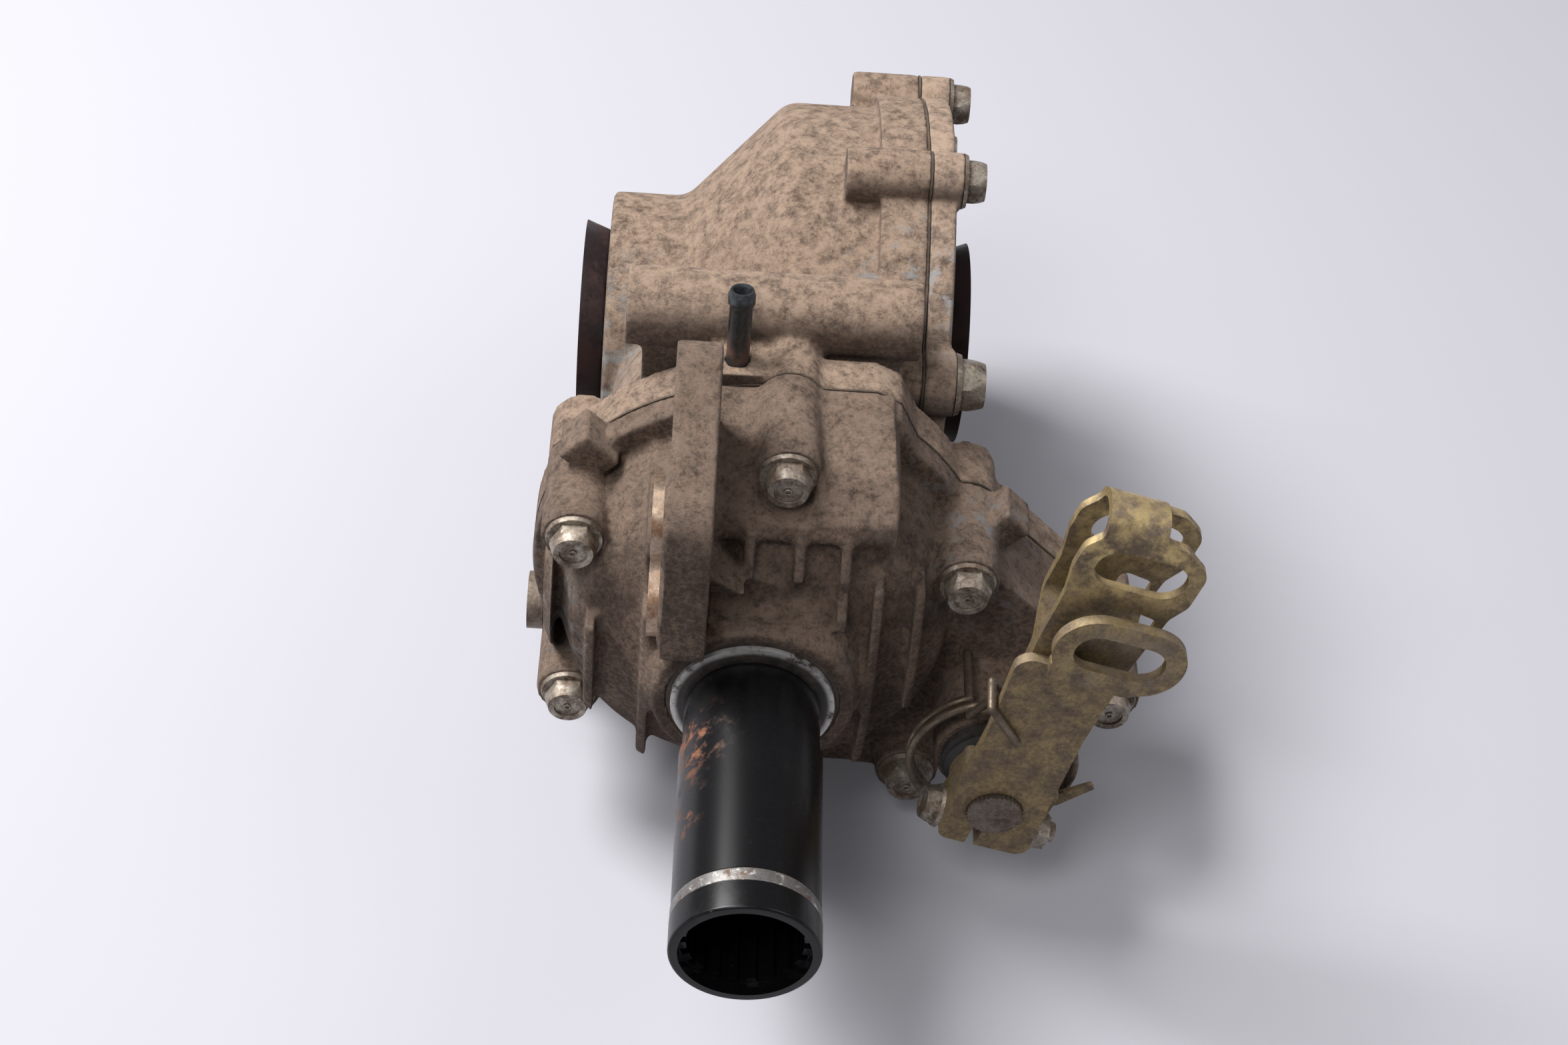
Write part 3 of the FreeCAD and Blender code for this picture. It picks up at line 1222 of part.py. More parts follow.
def teeth_in_swing(radius, swing):
    """Number of whole teeth that pass the line of centres in a swing."""
    return int(math.radians(swing) * radius / (math.pi * SECTOR_MODULE)) + 2


def cam_ring():
    """The toothed ring with three ramps that pushes the pressure plate."""
    back = JOINT_Y - THRUST_GAP
    ring = ring_y(CAM_RING_OUTER_R, CAM_RING_INNER_R, CAM_RING_Y, back)
    travel = RAMP_R * math.radians(LEVER_SWING * SECTOR_RATIO)
    low = CAM_RING_Y - RAMP_FOOT
    profile = [(4.0, CAM_RING_Y + 0.5), (4.0, low), (0.0, low), (-travel, low - RAMP_RISE),
               (-travel - 3.0, low - RAMP_RISE), (-travel - 3.0, CAM_RING_Y + 0.5)]
    points = [Vec(x, y, AXIS_Z + RAMP_R - RAMP_WIDTH / 2) for x, y in profile]
    ramp = Part.Face(Part.makePolygon(points + points[:1])).extrude(Z_AXIS * RAMP_WIDTH)
    rim = rod_y(CAM_RING_OUTER_R, low - RAMP_RISE - 1.0, back)
    ramps = [around_y(ramp, 120 * index).common(rim) for index in range(RAMP_COUNT)]
    last = teeth_in_swing(RING_PITCH_R, LEVER_SWING * SECTOR_RATIO)
    teeth = sector_teeth(RING_PITCH_R, (0.0, 0.0), CENTRE_ANGLE, -2, last, 0.0)
    return ring.multiFuse(ramps + teeth).removeSplitter()


def camshaft():
    """The brake camshaft: serrated end, bearing length and toothed sector."""
    back = JOINT_Y - THRUST_GAP
    serrated_end = -LEVER_FACE + LEVER_PLATE + CLAMP_DEPTH
    shaft = rod_y(CAM_SHAFT_R, serrated_end, back, CAM_X, CAM_Z)
    points = []
    for index in range(SERRATION_TEETH * 2 + 1):
        reach = SERRATION_R if index % 2 else SERRATION_R - 0.6
        across, up = flat(180 * index / SERRATION_TEETH)
        points.append(Vec(CAM_X + reach * across, -CAM_SHAFT_REACH, AXIS_Z + CAM_Z + reach * up))
    serrated = Part.Face(Part.makePolygon(points)).extrude(Y_AXIS * (CAM_SHAFT_REACH + serrated_end))
    hub = rod_y(SECTOR_PITCH_R * 0.45, CAM_RING_Y, back, CAM_X, CAM_Z)
    facing = CENTRE_ANGLE + 180
    count = teeth_in_swing(SECTOR_PITCH_R, LEVER_SWING)
    wedge = rod_y(SECTOR_PITCH_R - SECTOR_MODULE * 1.3, CAM_RING_Y, back, CAM_X, CAM_Z)
    pitch = math.pi * SECTOR_MODULE / SECTOR_PITCH_R
    start = math.radians(facing) - (count + 1.0) * pitch
    end = math.radians(facing) + 3.0 * pitch
    reach = SECTOR_PITCH_R * 2
    corners = [(CAM_X, CAM_Z, 0)]
    for turn in (start, (start + end) / 2, end):
        corners.append((CAM_X + reach * math.cos(turn), CAM_Z + reach * math.sin(turn), 0))
    sector = wedge.common(prism_y(corners, CAM_RING_Y - 1.0, back + 1.0))
    teeth = sector_teeth(SECTOR_PITCH_R, (CAM_X, CAM_Z), facing, -count - 1, 2, 0.5)
    return shaft.multiFuse([serrated, hub, sector] + teeth).removeSplitter()


def tilted(shape):
    """The shape turned about the camshaft to the lever's resting angle."""
    turned = shape.copy()
    turned.rotate(Vec(CAM_X, 0, AXIS_Z + CAM_Z), Y_AXIS, LEVER_TILT)
    return turned


def lever_prism(corners, start, end):
    """A prism along Y from (across, up, corner radius) points about the camshaft."""
    moved = [(CAM_X + u, CAM_Z + v, radius) for u, v, radius in corners]
    return prism_y(moved, start, end)


def stadium(across, up, length, width, start, end):
    """A prism with round ends, lying across the lever."""
    half = length / 2
    side = width / 2
    radius = side * 0.98
    corners = [(across - half, up - side, radius), (across + half, up - side, radius),
               (across + half, up + side, radius), (across - half, up + side, radius)]
    return lever_prism(corners, start, end)


def lever_arm():
    """The pressed arm with its split clamp on the camshaft."""
    face = -LEVER_FACE
    back = face + LEVER_PLATE
    plate = lever_prism([
        (CLAMP_LEFT, -CLAMP_BOTTOM, 4.0), (CLAMP_RIGHT, -CLAMP_BOTTOM, 4.0), (CLAMP_RIGHT - 2.0, 5.0, 20.0),
        (ARM_RIGHT, LEVER_REACH * 0.6, 0), (ARM_RIGHT, LEVER_REACH, 3.0), (ARM_LEFT, LEVER_REACH + 2.0, 5.0),
        (ARM_LEFT + 4.0, LEVER_REACH / 2, 0), (CLAMP_LEFT - 1.5, 8.0, 0), (CLAMP_LEFT, -4.0, 0),
    ], face, back)
    clamp = lever_prism([
        (CLAMP_LEFT, -CLAMP_BOTTOM, 4.0), (CLAMP_RIGHT, -CLAMP_BOTTOM, 4.0),
        (CLAMP_RIGHT, CLAMP_TOP, 2.0), (CLAMP_LEFT, CLAMP_TOP, 2.0),
    ], back - 0.5, back + CLAMP_DEPTH)
    end = back + CLAMP_DEPTH + 1.0
    cuts = [rod_y(SERRATION_R + FIT, face - 1.0, end, CAM_X, CAM_Z)]
    cuts.append(lever_prism([(-CLAMP_SLOT, -CLAMP_BOTTOM - 1.0, 0), (0, -CLAMP_BOTTOM - 1.0, 0), (0, 0, 0),
                             (-CLAMP_SLOT, 0, 0)], face - 1.0, end))
    width = CLAMP_RIGHT - CLAMP_LEFT + 4.0
    cuts.append(Part.makeCylinder(M6_BOLT[4] + FIT * 2, width, clamp_axis(CLAMP_LEFT - 2.0), X_AXIS))
    return tilted(plate.fuse(clamp).removeSplitter().cut(cuts))


def cable_loop():
    """The slotted loop for the hand brake cable, welded to the front of the arm."""
    front = -LEVER_FACE - LEVER_PLATE
    back = -LEVER_FACE
    rim = LOOP_RIM * 2
    loop = stadium(LOOP_SHIFT, LOOP_REACH, SLOT_LENGTH + rim, SLOT_WIDTH + rim, front, back)
    low = LOOP_REACH - SLOT_WIDTH
    foot = lever_prism([
        (LOOP_SHIFT - 17.0, low + 5.0, 2.0), (LOOP_SHIFT - 15.5, low - 0.5, 2.0),
        (LOOP_SHIFT + 8.5, low - 0.5, 4.0), (LOOP_SHIFT + 14.0, LOOP_REACH - SLOT_WIDTH / 2, 0),
        (LOOP_SHIFT - 15.0, LOOP_REACH, 0),
    ], front, back)
    slot = stadium(LOOP_SHIFT, LOOP_REACH, SLOT_LENGTH, SLOT_WIDTH, front - 1.0, back + 1.0)
    return tilted(loop.fuse(foot).cut(slot).removeSplitter())


def cable_yoke():
    """The folded strap behind the arm: two slotted legs joined by a bend at the top."""
    sheet = YOKE_PLATE
    front = -LEVER_FACE + LEVER_PLATE
    rear = front + YOKE_WIDTH + sheet
    low = LEVER_REACH - 14.0
    bend = (YOKE_WIDTH + sheet) / 2
    outer = [(front, low, 0), (front, YOKE_TOP, bend - 0.6), (rear, YOKE_TOP, bend - 0.6),
             (rear, YOKE_REACH - 26.0, 6.0), (front + sheet * 2, LEVER_REACH + 2.0, 5.0),
             (front + sheet * 2, low, 0)]
    inner = [(front + sheet, LEVER_REACH + 4.0, 0), (front + sheet, YOKE_TOP - sheet, bend - sheet - 0.6),
             (rear - sheet, YOKE_TOP - sheet, bend - sheet - 0.6), (rear - sheet, YOKE_REACH - 26.0, 4.0)]
    width = SLOT_LENGTH * 2

    def strip(corners):
        face = rounded_face(corners, lambda u, v: Vec(CAM_X - width / 2, u, AXIS_Z + CAM_Z + v))
        return face.extrude(X_AXIS * width)

    outline = lever_prism([
        (-13.5, low, 2.0), (ARM_RIGHT, low, 2.0), (13.5, YOKE_REACH - 26.0, 6.0),
        (14.5, YOKE_REACH - 13.0, 5.0), (17.5, YOKE_REACH - 7.0, 5.0), (17.5, YOKE_REACH + 6.0, 6.0),
        (9.0, YOKE_REACH + 12.0, 4.0), (2.5, YOKE_REACH + 12.5, 2.0), (2.0, YOKE_TOP + 1.0, 0),
        (2.0 - YOKE_STRAP, YOKE_TOP + 1.0, 0), (2.5 - YOKE_STRAP, YOKE_REACH + 10.0, 3.0),
        (-18.0, YOKE_REACH + 5.0, 5.0), (-18.0, YOKE_REACH - 3.0, 6.0), (-16.0, YOKE_REACH - 13.0, 5.0),
        (-15.5, YOKE_REACH - 31.0, 3.0),
    ], front - 1.0, rear + 1.0)
    yoke = strip(outer).cut(strip(inner)).common(outline)
    slot = stadium(0.5, YOKE_REACH, SLOT_LENGTH, SLOT_WIDTH, front - 1.0, rear + 1.0)
    window = lever_prism([
        (2.0, YOKE_REACH - 25.0, 2.0), (12.0, YOKE_REACH - 25.0, 2.0),
        (12.0, YOKE_REACH - 14.5, 2.5), (2.0, YOKE_REACH - 13.0, 2.5),
    ], front - 1.0, rear + 1.0)
    return tilted(yoke.cut([slot, window]))


def clamp_axis(across):
    """A point on the clamp bolt's line, before the lever is tilted."""
    y = -LEVER_FACE + LEVER_PLATE + CLAMP_DEPTH / 2
    return Vec(CAM_X + across, y, AXIS_Z + CAM_Z - CLAMP_BOLT_DROP)


def clamp_bolt():
    """The bolt that pinches the lever on the camshaft."""
    return tilted(seated(M6_BOLT, CLAMP_RIGHT - CLAMP_LEFT + 7.5, clamp_axis(CLAMP_LEFT), -X_AXIS))


def clamp_nut():
    """The nut at the other end of the clamp bolt."""
    flats = M6_BOLT[0]
    corner = flats / 2 / math.cos(math.pi / 6)
    points = [Vec(corner * flat(60 * i)[0], corner * flat(60 * i)[1], 0) for i in range(7)]
    nut = Part.Face(Part.makePolygon(points)).extrude(Z_AXIS * 5.0)
    collar = Part.makeCylinder(M6_BOLT[2], M6_BOLT[3], Vec(0, 0, 0), Z_AXIS)
    hole = Part.makeCylinder(M6_BOLT[4] + FIT, 10.0, Vec(0, 0, -2.0), Z_AXIS)
    return tilted(placed(nut.fuse(collar).cut(hole), clamp_axis(CLAMP_RIGHT), X_AXIS))


def wear_pointer():
    """The wear indicator plate on the camshaft, with its upturned tip."""
    start = -LEVER_FACE + LEVER_PLATE + CLAMP_DEPTH + FIT
    end = start + POINTER_PLATE
    reach = SERRATION_R + 4.5
    disc = rod_y(reach, start, end, CAM_X, CAM_Z)
    arm = lever_prism([(0, -4.5, 0), (reach + 4.0, -4.5, 0), (POINTER_REACH - 4.0, -6.5, 2.0),
                       (POINTER_REACH + 4.0, 5.0, 0), (POINTER_REACH + 2.5, 6.5, 0),
                       (POINTER_REACH - 5.0, -1.0, 0), (reach + 5.0, 5.0, 2.0), (0, 8.0, 0)], start, end)
    hole = rod_y(CAM_SHAFT_R + FIT, start - 1.0, end + 1.0, CAM_X, CAM_Z)
    return tilted(disc.fuse(arm).cut(hole))


def shaft_boot():
    """The ribbed rubber boot between the lever and the camshaft boss."""
    start = -LEVER_FACE + LEVER_PLATE + CLAMP_DEPTH + POINTER_PLATE + RUNNING_FIT * 2
    end = -CAM_BOSS_REACH - FIT
    middle = (start + end) / 2
    profile = [
        (start, CAM_SHAFT_R + RUNNING_FIT), (start, BOOT_R - 4.0), (middle - 0.8, BOOT_R - 1.0),
        (middle, BOOT_R - 2.5), (middle + 0.8, BOOT_R), (end, BOOT_R), (end, CAM_SHAFT_R + RUNNING_FIT),
    ]
    points = [Vec(CAM_X + r, y, AXIS_Z + CAM_Z) for y, r in profile]
    face = Part.Face(Part.makePolygon(points + points[:1]))
    return face.revolve(Vec(CAM_X, 0, AXIS_Z + CAM_Z), Y_AXIS, 360)


def wire_run(points):
    """Round wire along straight runs with rounded elbows; points are (across, up, y)."""
    spots = [Vec(CAM_X + u, y, AXIS_Z + CAM_Z + v) for u, v, y in points]
    pieces = []
    for start, end in zip(spots, spots[1:]):
        way = end - start
        pieces.append(Part.makeCylinder(SPRING_WIRE_R, way.Length, start, way))
        pieces.append(Part.makeSphere(SPRING_WIRE_R, end))
    pieces.append(Part.makeSphere(SPRING_WIRE_R, spots[0]))
    return pieces


def return_spring():
    """The torsion spring round the camshaft boss, hooked over the left edge of the arm."""
    coil = Part.makeHelix(SPRING_PITCH, SPRING_PITCH * SPRING_TURNS, SPRING_R)
    section = Part.Wire(Part.makeCircle(SPRING_WIRE_R, Vec(SPRING_R, 0, 0), Y_AXIS))
    wire = Part.Wire(coil).makePipeShell([section], True, True)
    back = -SPRING_BACK - SPRING_WIRE_R
    front = back - SPRING_PITCH * SPRING_TURNS
    wire = placed(wire, Vec(CAM_X, back, AXIS_Z + CAM_Z), -Y_AXIS)
    wire.rotate(Vec(CAM_X, 0, AXIS_Z + CAM_Z), Y_AXIS, -SPRING_END_ANGLE)
    across, up = flat(SPRING_END_ANGLE)
    side = ARM_LEFT + SPRING_WIRE_R * 0.3
    face = -LEVER_FACE - SPRING_WIRE_R - FIT
    hook = wire_run([
        (SPRING_R * across, SPRING_R * up, front), (side + 4.0, HOOK_HEIGHT - 2.5, face + 9.0),
        (side, HOOK_HEIGHT, face + 9.0), (side, HOOK_HEIGHT - 1.0, face),
        (side + HOOK_RUN, HOOK_HEIGHT - HOOK_RUN, face),
    ])
    tail = wire_run([
        (SPRING_R * across, SPRING_R * up, back),
        (SPRING_R * across, SPRING_R * up, JOINT_Y - CAM_BOX_DEPTH - SPRING_WIRE_R - 0.3),
    ])
    return tilted(wire.multiFuse(hook + tail))


def side_gear(direction):
    """A differential side gear with its splined hub; direction is -1 on the left, 1 on the right."""
    (z_in, r_in), (z_out, r_out) = root_line(SIDE_TEETH, SPIDER_TEETH, DIFF_MODULE, DIFF_FACE,
                                             DIFF_ADDENDUM + ROOT_CLEARANCE)
    back = CARRIER_HALF - 5.5 - THRUST_WASHER
    hub_end = CARRIER_HALF + 7.0
    blank = turned_blank([
        (z_in, 0), (z_in, r_in), (z_out, r_out), (z_out + 2.0, r_out + 1.0), (back, r_out - 1.0),
        (back, SIDE_HUB_OUTER_R), (hub_end, SIDE_HUB_OUTER_R), (hub_end, 0),
    ])
    teeth = bevel_teeth(SIDE_TEETH, SPIDER_TEETH, DIFF_MODULE, DIFF_FACE, DIFF_ADDENDUM,
                        DIFF_ADDENDUM + ROOT_CLEARANCE, 0.0, DIFF_BACKLASH)
    gear = blank.multiFuse(teeth)
    cutter = spline_bore(OUTPUT_BORE_R, OUTPUT_DEPTH, OUTPUT_TEETH, hub_end)
    gear = gear.cut(cutter)
    return oriented(gear, Z_AXIS, X_AXIS.cross(Z_AXIS) * direction, X_AXIS * direction, APEX)


def spider_gear(direction):
    """A differential spider gear on the cross pin; direction is 1 above and -1 below."""
    (z_in, r_in), (z_out, r_out) = root_line(SPIDER_TEETH, SIDE_TEETH, DIFF_MODULE, DIFF_FACE,
                                             DIFF_ADDENDUM + ROOT_CLEARANCE)
    back = CARRIER_INNER_R - 0.4
    blank = turned_blank([
        (z_in, 0), (z_in, r_in), (z_out, r_out), (z_out + 1.6, r_out + 1.2), (back, r_out + 0.5), (back, 0),
    ])
    teeth = bevel_teeth(SPIDER_TEETH, SIDE_TEETH, DIFF_MODULE, DIFF_FACE, DIFF_ADDENDUM,
                        DIFF_ADDENDUM + ROOT_CLEARANCE, 0.0, DIFF_BACKLASH)
    gear = blank.multiFuse(teeth)
    gear = gear.cut(Part.makeCylinder(CROSS_PIN_R + RUNNING_FIT, 60.0, Vec(0, 0, -5.0), Z_AXIS))
    gear.rotate(Vec(0, 0, 0), Z_AXIS, 180 / SPIDER_TEETH)
    return oriented(gear, X_AXIS, Y_AXIS * direction, Z_AXIS * direction, APEX)


def cross_pin():
    """The pin that carries both spider gears."""
    half = CARRIER_R - 0.5
    return Part.makeCylinder(CROSS_PIN_R, half * 2, APEX - Z_AXIS * half, Z_AXIS)


def thrust_washer(direction):
    """The washer behind a side gear."""
    back = CARRIER_HALF - 5.5 - THRUST_WASHER + FIT
    ends = sorted((direction * back, direction * (back + THRUST_WASHER - FIT * 2)))
    return ring_x(SIDE_HUB_OUTER_R + 6.0, SIDE_HUB_OUTER_R + RUNNING_FIT * 2, ends[0], ends[1])


def diff_case():
    """The carrier that turns with the ring gear, with side windows and two trunnions."""
    left_end = -COLLAR_FACE + OUTPUT_SEAL_WIDTH + 0.5
    right_end = SIDE_BEARING_X + SIDE_BEARING[2] - 0.5
    half = CARRIER_HALF
    body = turned_x([
        (left_end, 0, 0), (left_end, TRUNNION_R, 0), (-half - 2.0, TRUNNION_R, 0),
        (-half, TRUNNION_R + 3.5, 0),
        (-half, CARRIER_R - 4.0, 0), (-half + 6.0, CARRIER_R, 3.0), (RING_ROOT[0][0] + 2.0, CARRIER_R, 0),
        (RING_ROOT[0][0] + 2.0, RING_BORE_R - FIT, 0), (RING_BACK_X + FIT, RING_BORE_R - FIT, 0),
        (RING_BACK_X + FIT, RING_BOLT_R + 7.5, 0), (RING_BACK_X + CARRIER_FLANGE, RING_BOLT_R + 7.5, 0),
        (RING_BACK_X + CARRIER_FLANGE, TRUNNION_R + 3.5, 0), (SIDE_BEARING_X - 0.4, TRUNNION_R + 3.5, 0),
        (SIDE_BEARING_X - 0.4, TRUNNION_R, 0), (right_end, TRUNNION_R, 0), (right_end, 0, 0),
    ])
    pocket = half - 5.5
    cuts = [rod_x(CARRIER_INNER_R, -pocket, pocket)]
    cuts.append(rod_x(SIDE_HUB_OUTER_R + RUNNING_FIT, left_end - 1.0, right_end + 1.0))
    for side in (1, -1):
        cuts.append(Part.makeCylinder(14.5, CARRIER_INNER_R, APEX, Z_AXIS * side))
    cuts.append(Part.makeCylinder(CROSS_PIN_R + FIT, CARRIER_R * 3, APEX - Z_AXIS * CARRIER_R * 1.5, Z_AXIS))
    window = Part.makeBox(30.0, CARRIER_R * 3, 34.0, APEX - Vec(17.0, CARRIER_R * 1.5, 17.0))
    cuts.append(window)
    for y, z in ring_bolt_spots():
        cuts.append(rod_x(M6_BOLT[4] + 0.2, RING_BACK_X - 1.0, RING_BACK_X + CARRIER_FLANGE + 1.0, y, z))
    return body.cut(cuts)


def seal_right_start():
    """Where the right output seal starts."""
    return SIDE_FACE_X - OUTPUT_SEAL_WIDTH


FRONT_BEARING_RINGS = bearing(ring_y, FRONT_BEARING_Y, FRONT_BEARING)
PINION_BEARING_RINGS = bearing(ring_y, PINION_BEARING_Y, PINION_BEARING)
LEFT_BEARING_RINGS = bearing(ring_x, -COLLAR_FACE + OUTPUT_SEAL_WIDTH, SIDE_BEARING)
RIGHT_BEARING_RINGS = bearing(ring_x, SIDE_BEARING_X, SIDE_BEARING)

NODES = {
    "main_case": main_case,
    "front_cover": front_cover,
    "side_cover": side_cover,
    "front_cover_gasket": front_gasket,
    "side_cover_gasket": side_gasket,
    "front_cover_bolts": cover_bolts,
    "side_cover_bolts": side_bolts,
    "side_cover_large_bolt": large_side_bolt,
    "side_cover_dowels": dowels,
    "breather_tube": breather,
    "oil_level_plug": filler_plug,
    "lug_bushing_upper": lambda: bushing(1),
    "lug_bushing_lower": lambda: bushing(0),
    "input_seal": input_seal,
    "left_output_seal": lambda: output_seal(-COLLAR_FACE, -1),
    "right_output_seal": lambda: output_seal(seal_right_start(), 1),
    "left_dust_guard": lambda: guard(-COLLAR_FACE, -1),
    "right_dust_guard": lambda: guard(SIDE_FACE_X, 1),
    "front_bearing_outer": lambda: FRONT_BEARING_RINGS[0],
    "front_bearing_inner": lambda: FRONT_BEARING_RINGS[1],
    "pinion_bearing_outer": lambda: PINION_BEARING_RINGS[0],
    "pinion_bearing_inner": lambda: PINION_BEARING_RINGS[1],
    "left_bearing_outer": lambda: LEFT_BEARING_RINGS[0],
    "left_bearing_inner": lambda: LEFT_BEARING_RINGS[1],
    "right_bearing_outer": lambda: RIGHT_BEARING_RINGS[0],
    "right_bearing_inner": lambda: RIGHT_BEARING_RINGS[1],
    "pinion_lock_ring": lock_ring,
    "input_sleeve": input_sleeve,
    "sleeve_band": sleeve_band,
    "dust_disc": dust_disc,
    "pinion_nut": pinion_nut,
    "pinion_shaft": pinion_shaft,
    "brake_hub": brake_hub,
    "friction_discs": friction_discs,
    "steel_plates": steel_plates,
    "pressure_plate": pressure_plate,
    "cam_ring": cam_ring,
    "brake_camshaft": camshaft,
    "lever_arm": lever_arm,
    "cable_loop": cable_loop,
    "cable_yoke": cable_yoke,
    "clamp_bolt": clamp_bolt,
    "clamp_nut": clamp_nut,
    "wear_pointer": wear_pointer,
    "camshaft_boot": shaft_boot,
    "return_spring": return_spring,
    "ring_gear": ring_gear,
    "ring_gear_bolts": ring_bolts,
    "differential_case": diff_case,
    "cross_pin": cross_pin,
    "left_side_gear": lambda: side_gear(-1),
    "right_side_gear": lambda: side_gear(1),
    "upper_spider_gear": lambda: spider_gear(1),
    "lower_spider_gear": lambda: spider_gear(-1),
    "left_thrust_washer": lambda: thrust_washer(-1),
    "right_thrust_washer": lambda: thrust_washer(1),
}

os.makedirs("parts", exist_ok=True)
for name, build in NODES.items():
    build().exportStep("parts/" + name + ".step")
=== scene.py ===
"""Dressed model of a rear final drive: castings, bolts, brake lever, input sleeve and inner parts."""
import json
import logging
import math
from dataclasses import dataclass, field
from enum import Enum

import bmesh
import bpy
from mathutils import Matrix, Vector
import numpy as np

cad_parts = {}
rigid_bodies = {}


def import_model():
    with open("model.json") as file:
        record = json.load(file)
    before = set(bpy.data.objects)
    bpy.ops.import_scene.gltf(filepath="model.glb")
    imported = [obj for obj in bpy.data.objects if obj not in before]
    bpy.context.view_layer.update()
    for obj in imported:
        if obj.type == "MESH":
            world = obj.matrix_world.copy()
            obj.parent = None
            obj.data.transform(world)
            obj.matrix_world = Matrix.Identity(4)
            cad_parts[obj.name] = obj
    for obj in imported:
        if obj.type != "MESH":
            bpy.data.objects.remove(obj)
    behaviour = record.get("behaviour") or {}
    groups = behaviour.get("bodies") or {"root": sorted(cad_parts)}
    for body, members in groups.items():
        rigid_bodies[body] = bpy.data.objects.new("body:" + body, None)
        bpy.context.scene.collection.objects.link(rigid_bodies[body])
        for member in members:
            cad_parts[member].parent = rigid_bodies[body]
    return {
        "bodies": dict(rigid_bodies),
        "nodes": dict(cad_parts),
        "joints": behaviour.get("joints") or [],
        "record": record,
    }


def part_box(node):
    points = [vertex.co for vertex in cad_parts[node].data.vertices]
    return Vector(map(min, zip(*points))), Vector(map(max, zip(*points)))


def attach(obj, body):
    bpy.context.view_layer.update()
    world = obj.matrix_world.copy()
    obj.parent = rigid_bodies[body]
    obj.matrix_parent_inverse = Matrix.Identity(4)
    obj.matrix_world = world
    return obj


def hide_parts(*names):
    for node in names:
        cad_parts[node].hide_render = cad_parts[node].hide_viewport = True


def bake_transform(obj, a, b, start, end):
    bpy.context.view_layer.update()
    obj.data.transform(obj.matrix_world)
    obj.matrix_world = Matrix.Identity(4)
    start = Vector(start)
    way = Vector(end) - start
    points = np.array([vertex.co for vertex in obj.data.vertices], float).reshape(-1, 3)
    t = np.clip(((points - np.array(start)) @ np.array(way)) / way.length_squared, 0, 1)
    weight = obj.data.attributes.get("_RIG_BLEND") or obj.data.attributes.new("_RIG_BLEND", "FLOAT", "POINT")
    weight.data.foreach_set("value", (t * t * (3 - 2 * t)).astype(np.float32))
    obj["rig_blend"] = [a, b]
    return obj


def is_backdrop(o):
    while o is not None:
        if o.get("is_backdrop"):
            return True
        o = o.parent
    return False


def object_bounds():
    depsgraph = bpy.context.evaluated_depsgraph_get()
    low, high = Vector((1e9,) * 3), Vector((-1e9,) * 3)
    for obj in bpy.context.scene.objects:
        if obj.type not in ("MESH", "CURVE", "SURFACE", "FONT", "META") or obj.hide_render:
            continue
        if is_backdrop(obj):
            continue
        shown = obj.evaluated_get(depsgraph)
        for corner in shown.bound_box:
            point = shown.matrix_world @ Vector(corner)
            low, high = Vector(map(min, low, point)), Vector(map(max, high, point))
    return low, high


LOG = logging.getLogger("final_drive")
Colour = tuple[float, float, float]
Span = tuple[float, float]
MM = 0.001
CAM_X = 0.072
CAM_Z = -0.102
WELD = 0.000005
SLIVER = 0.000002

# Scales of the noises, in cells per metre, and the ranges of noise that they show
SPECK_SCALE = 420.0
PIT_SCALE = 620.0
PIT_RANGE = (0.60, 0.70)
TOP_DUST_AND_LIGHT_SCALE = 230.0
TOP_DUST_AND_LIGHT_RANGE = (0.36, 0.60)
STAIN_SCALE = 160.0
RIM_SCALE = 180.0
RIM_RANGE = (0.36, 0.52)
GRAIN_RANGE = (0.43, 0.57)
WEAR_RANGE = (0.35, 0.6)


class Axis(Enum):
    """Axes that bearings turn about, each with the turn that lays a ring round it."""

    INPUT = (math.pi / 2, 0, 0)
    OUTPUT = (0, math.pi / 2, 0)


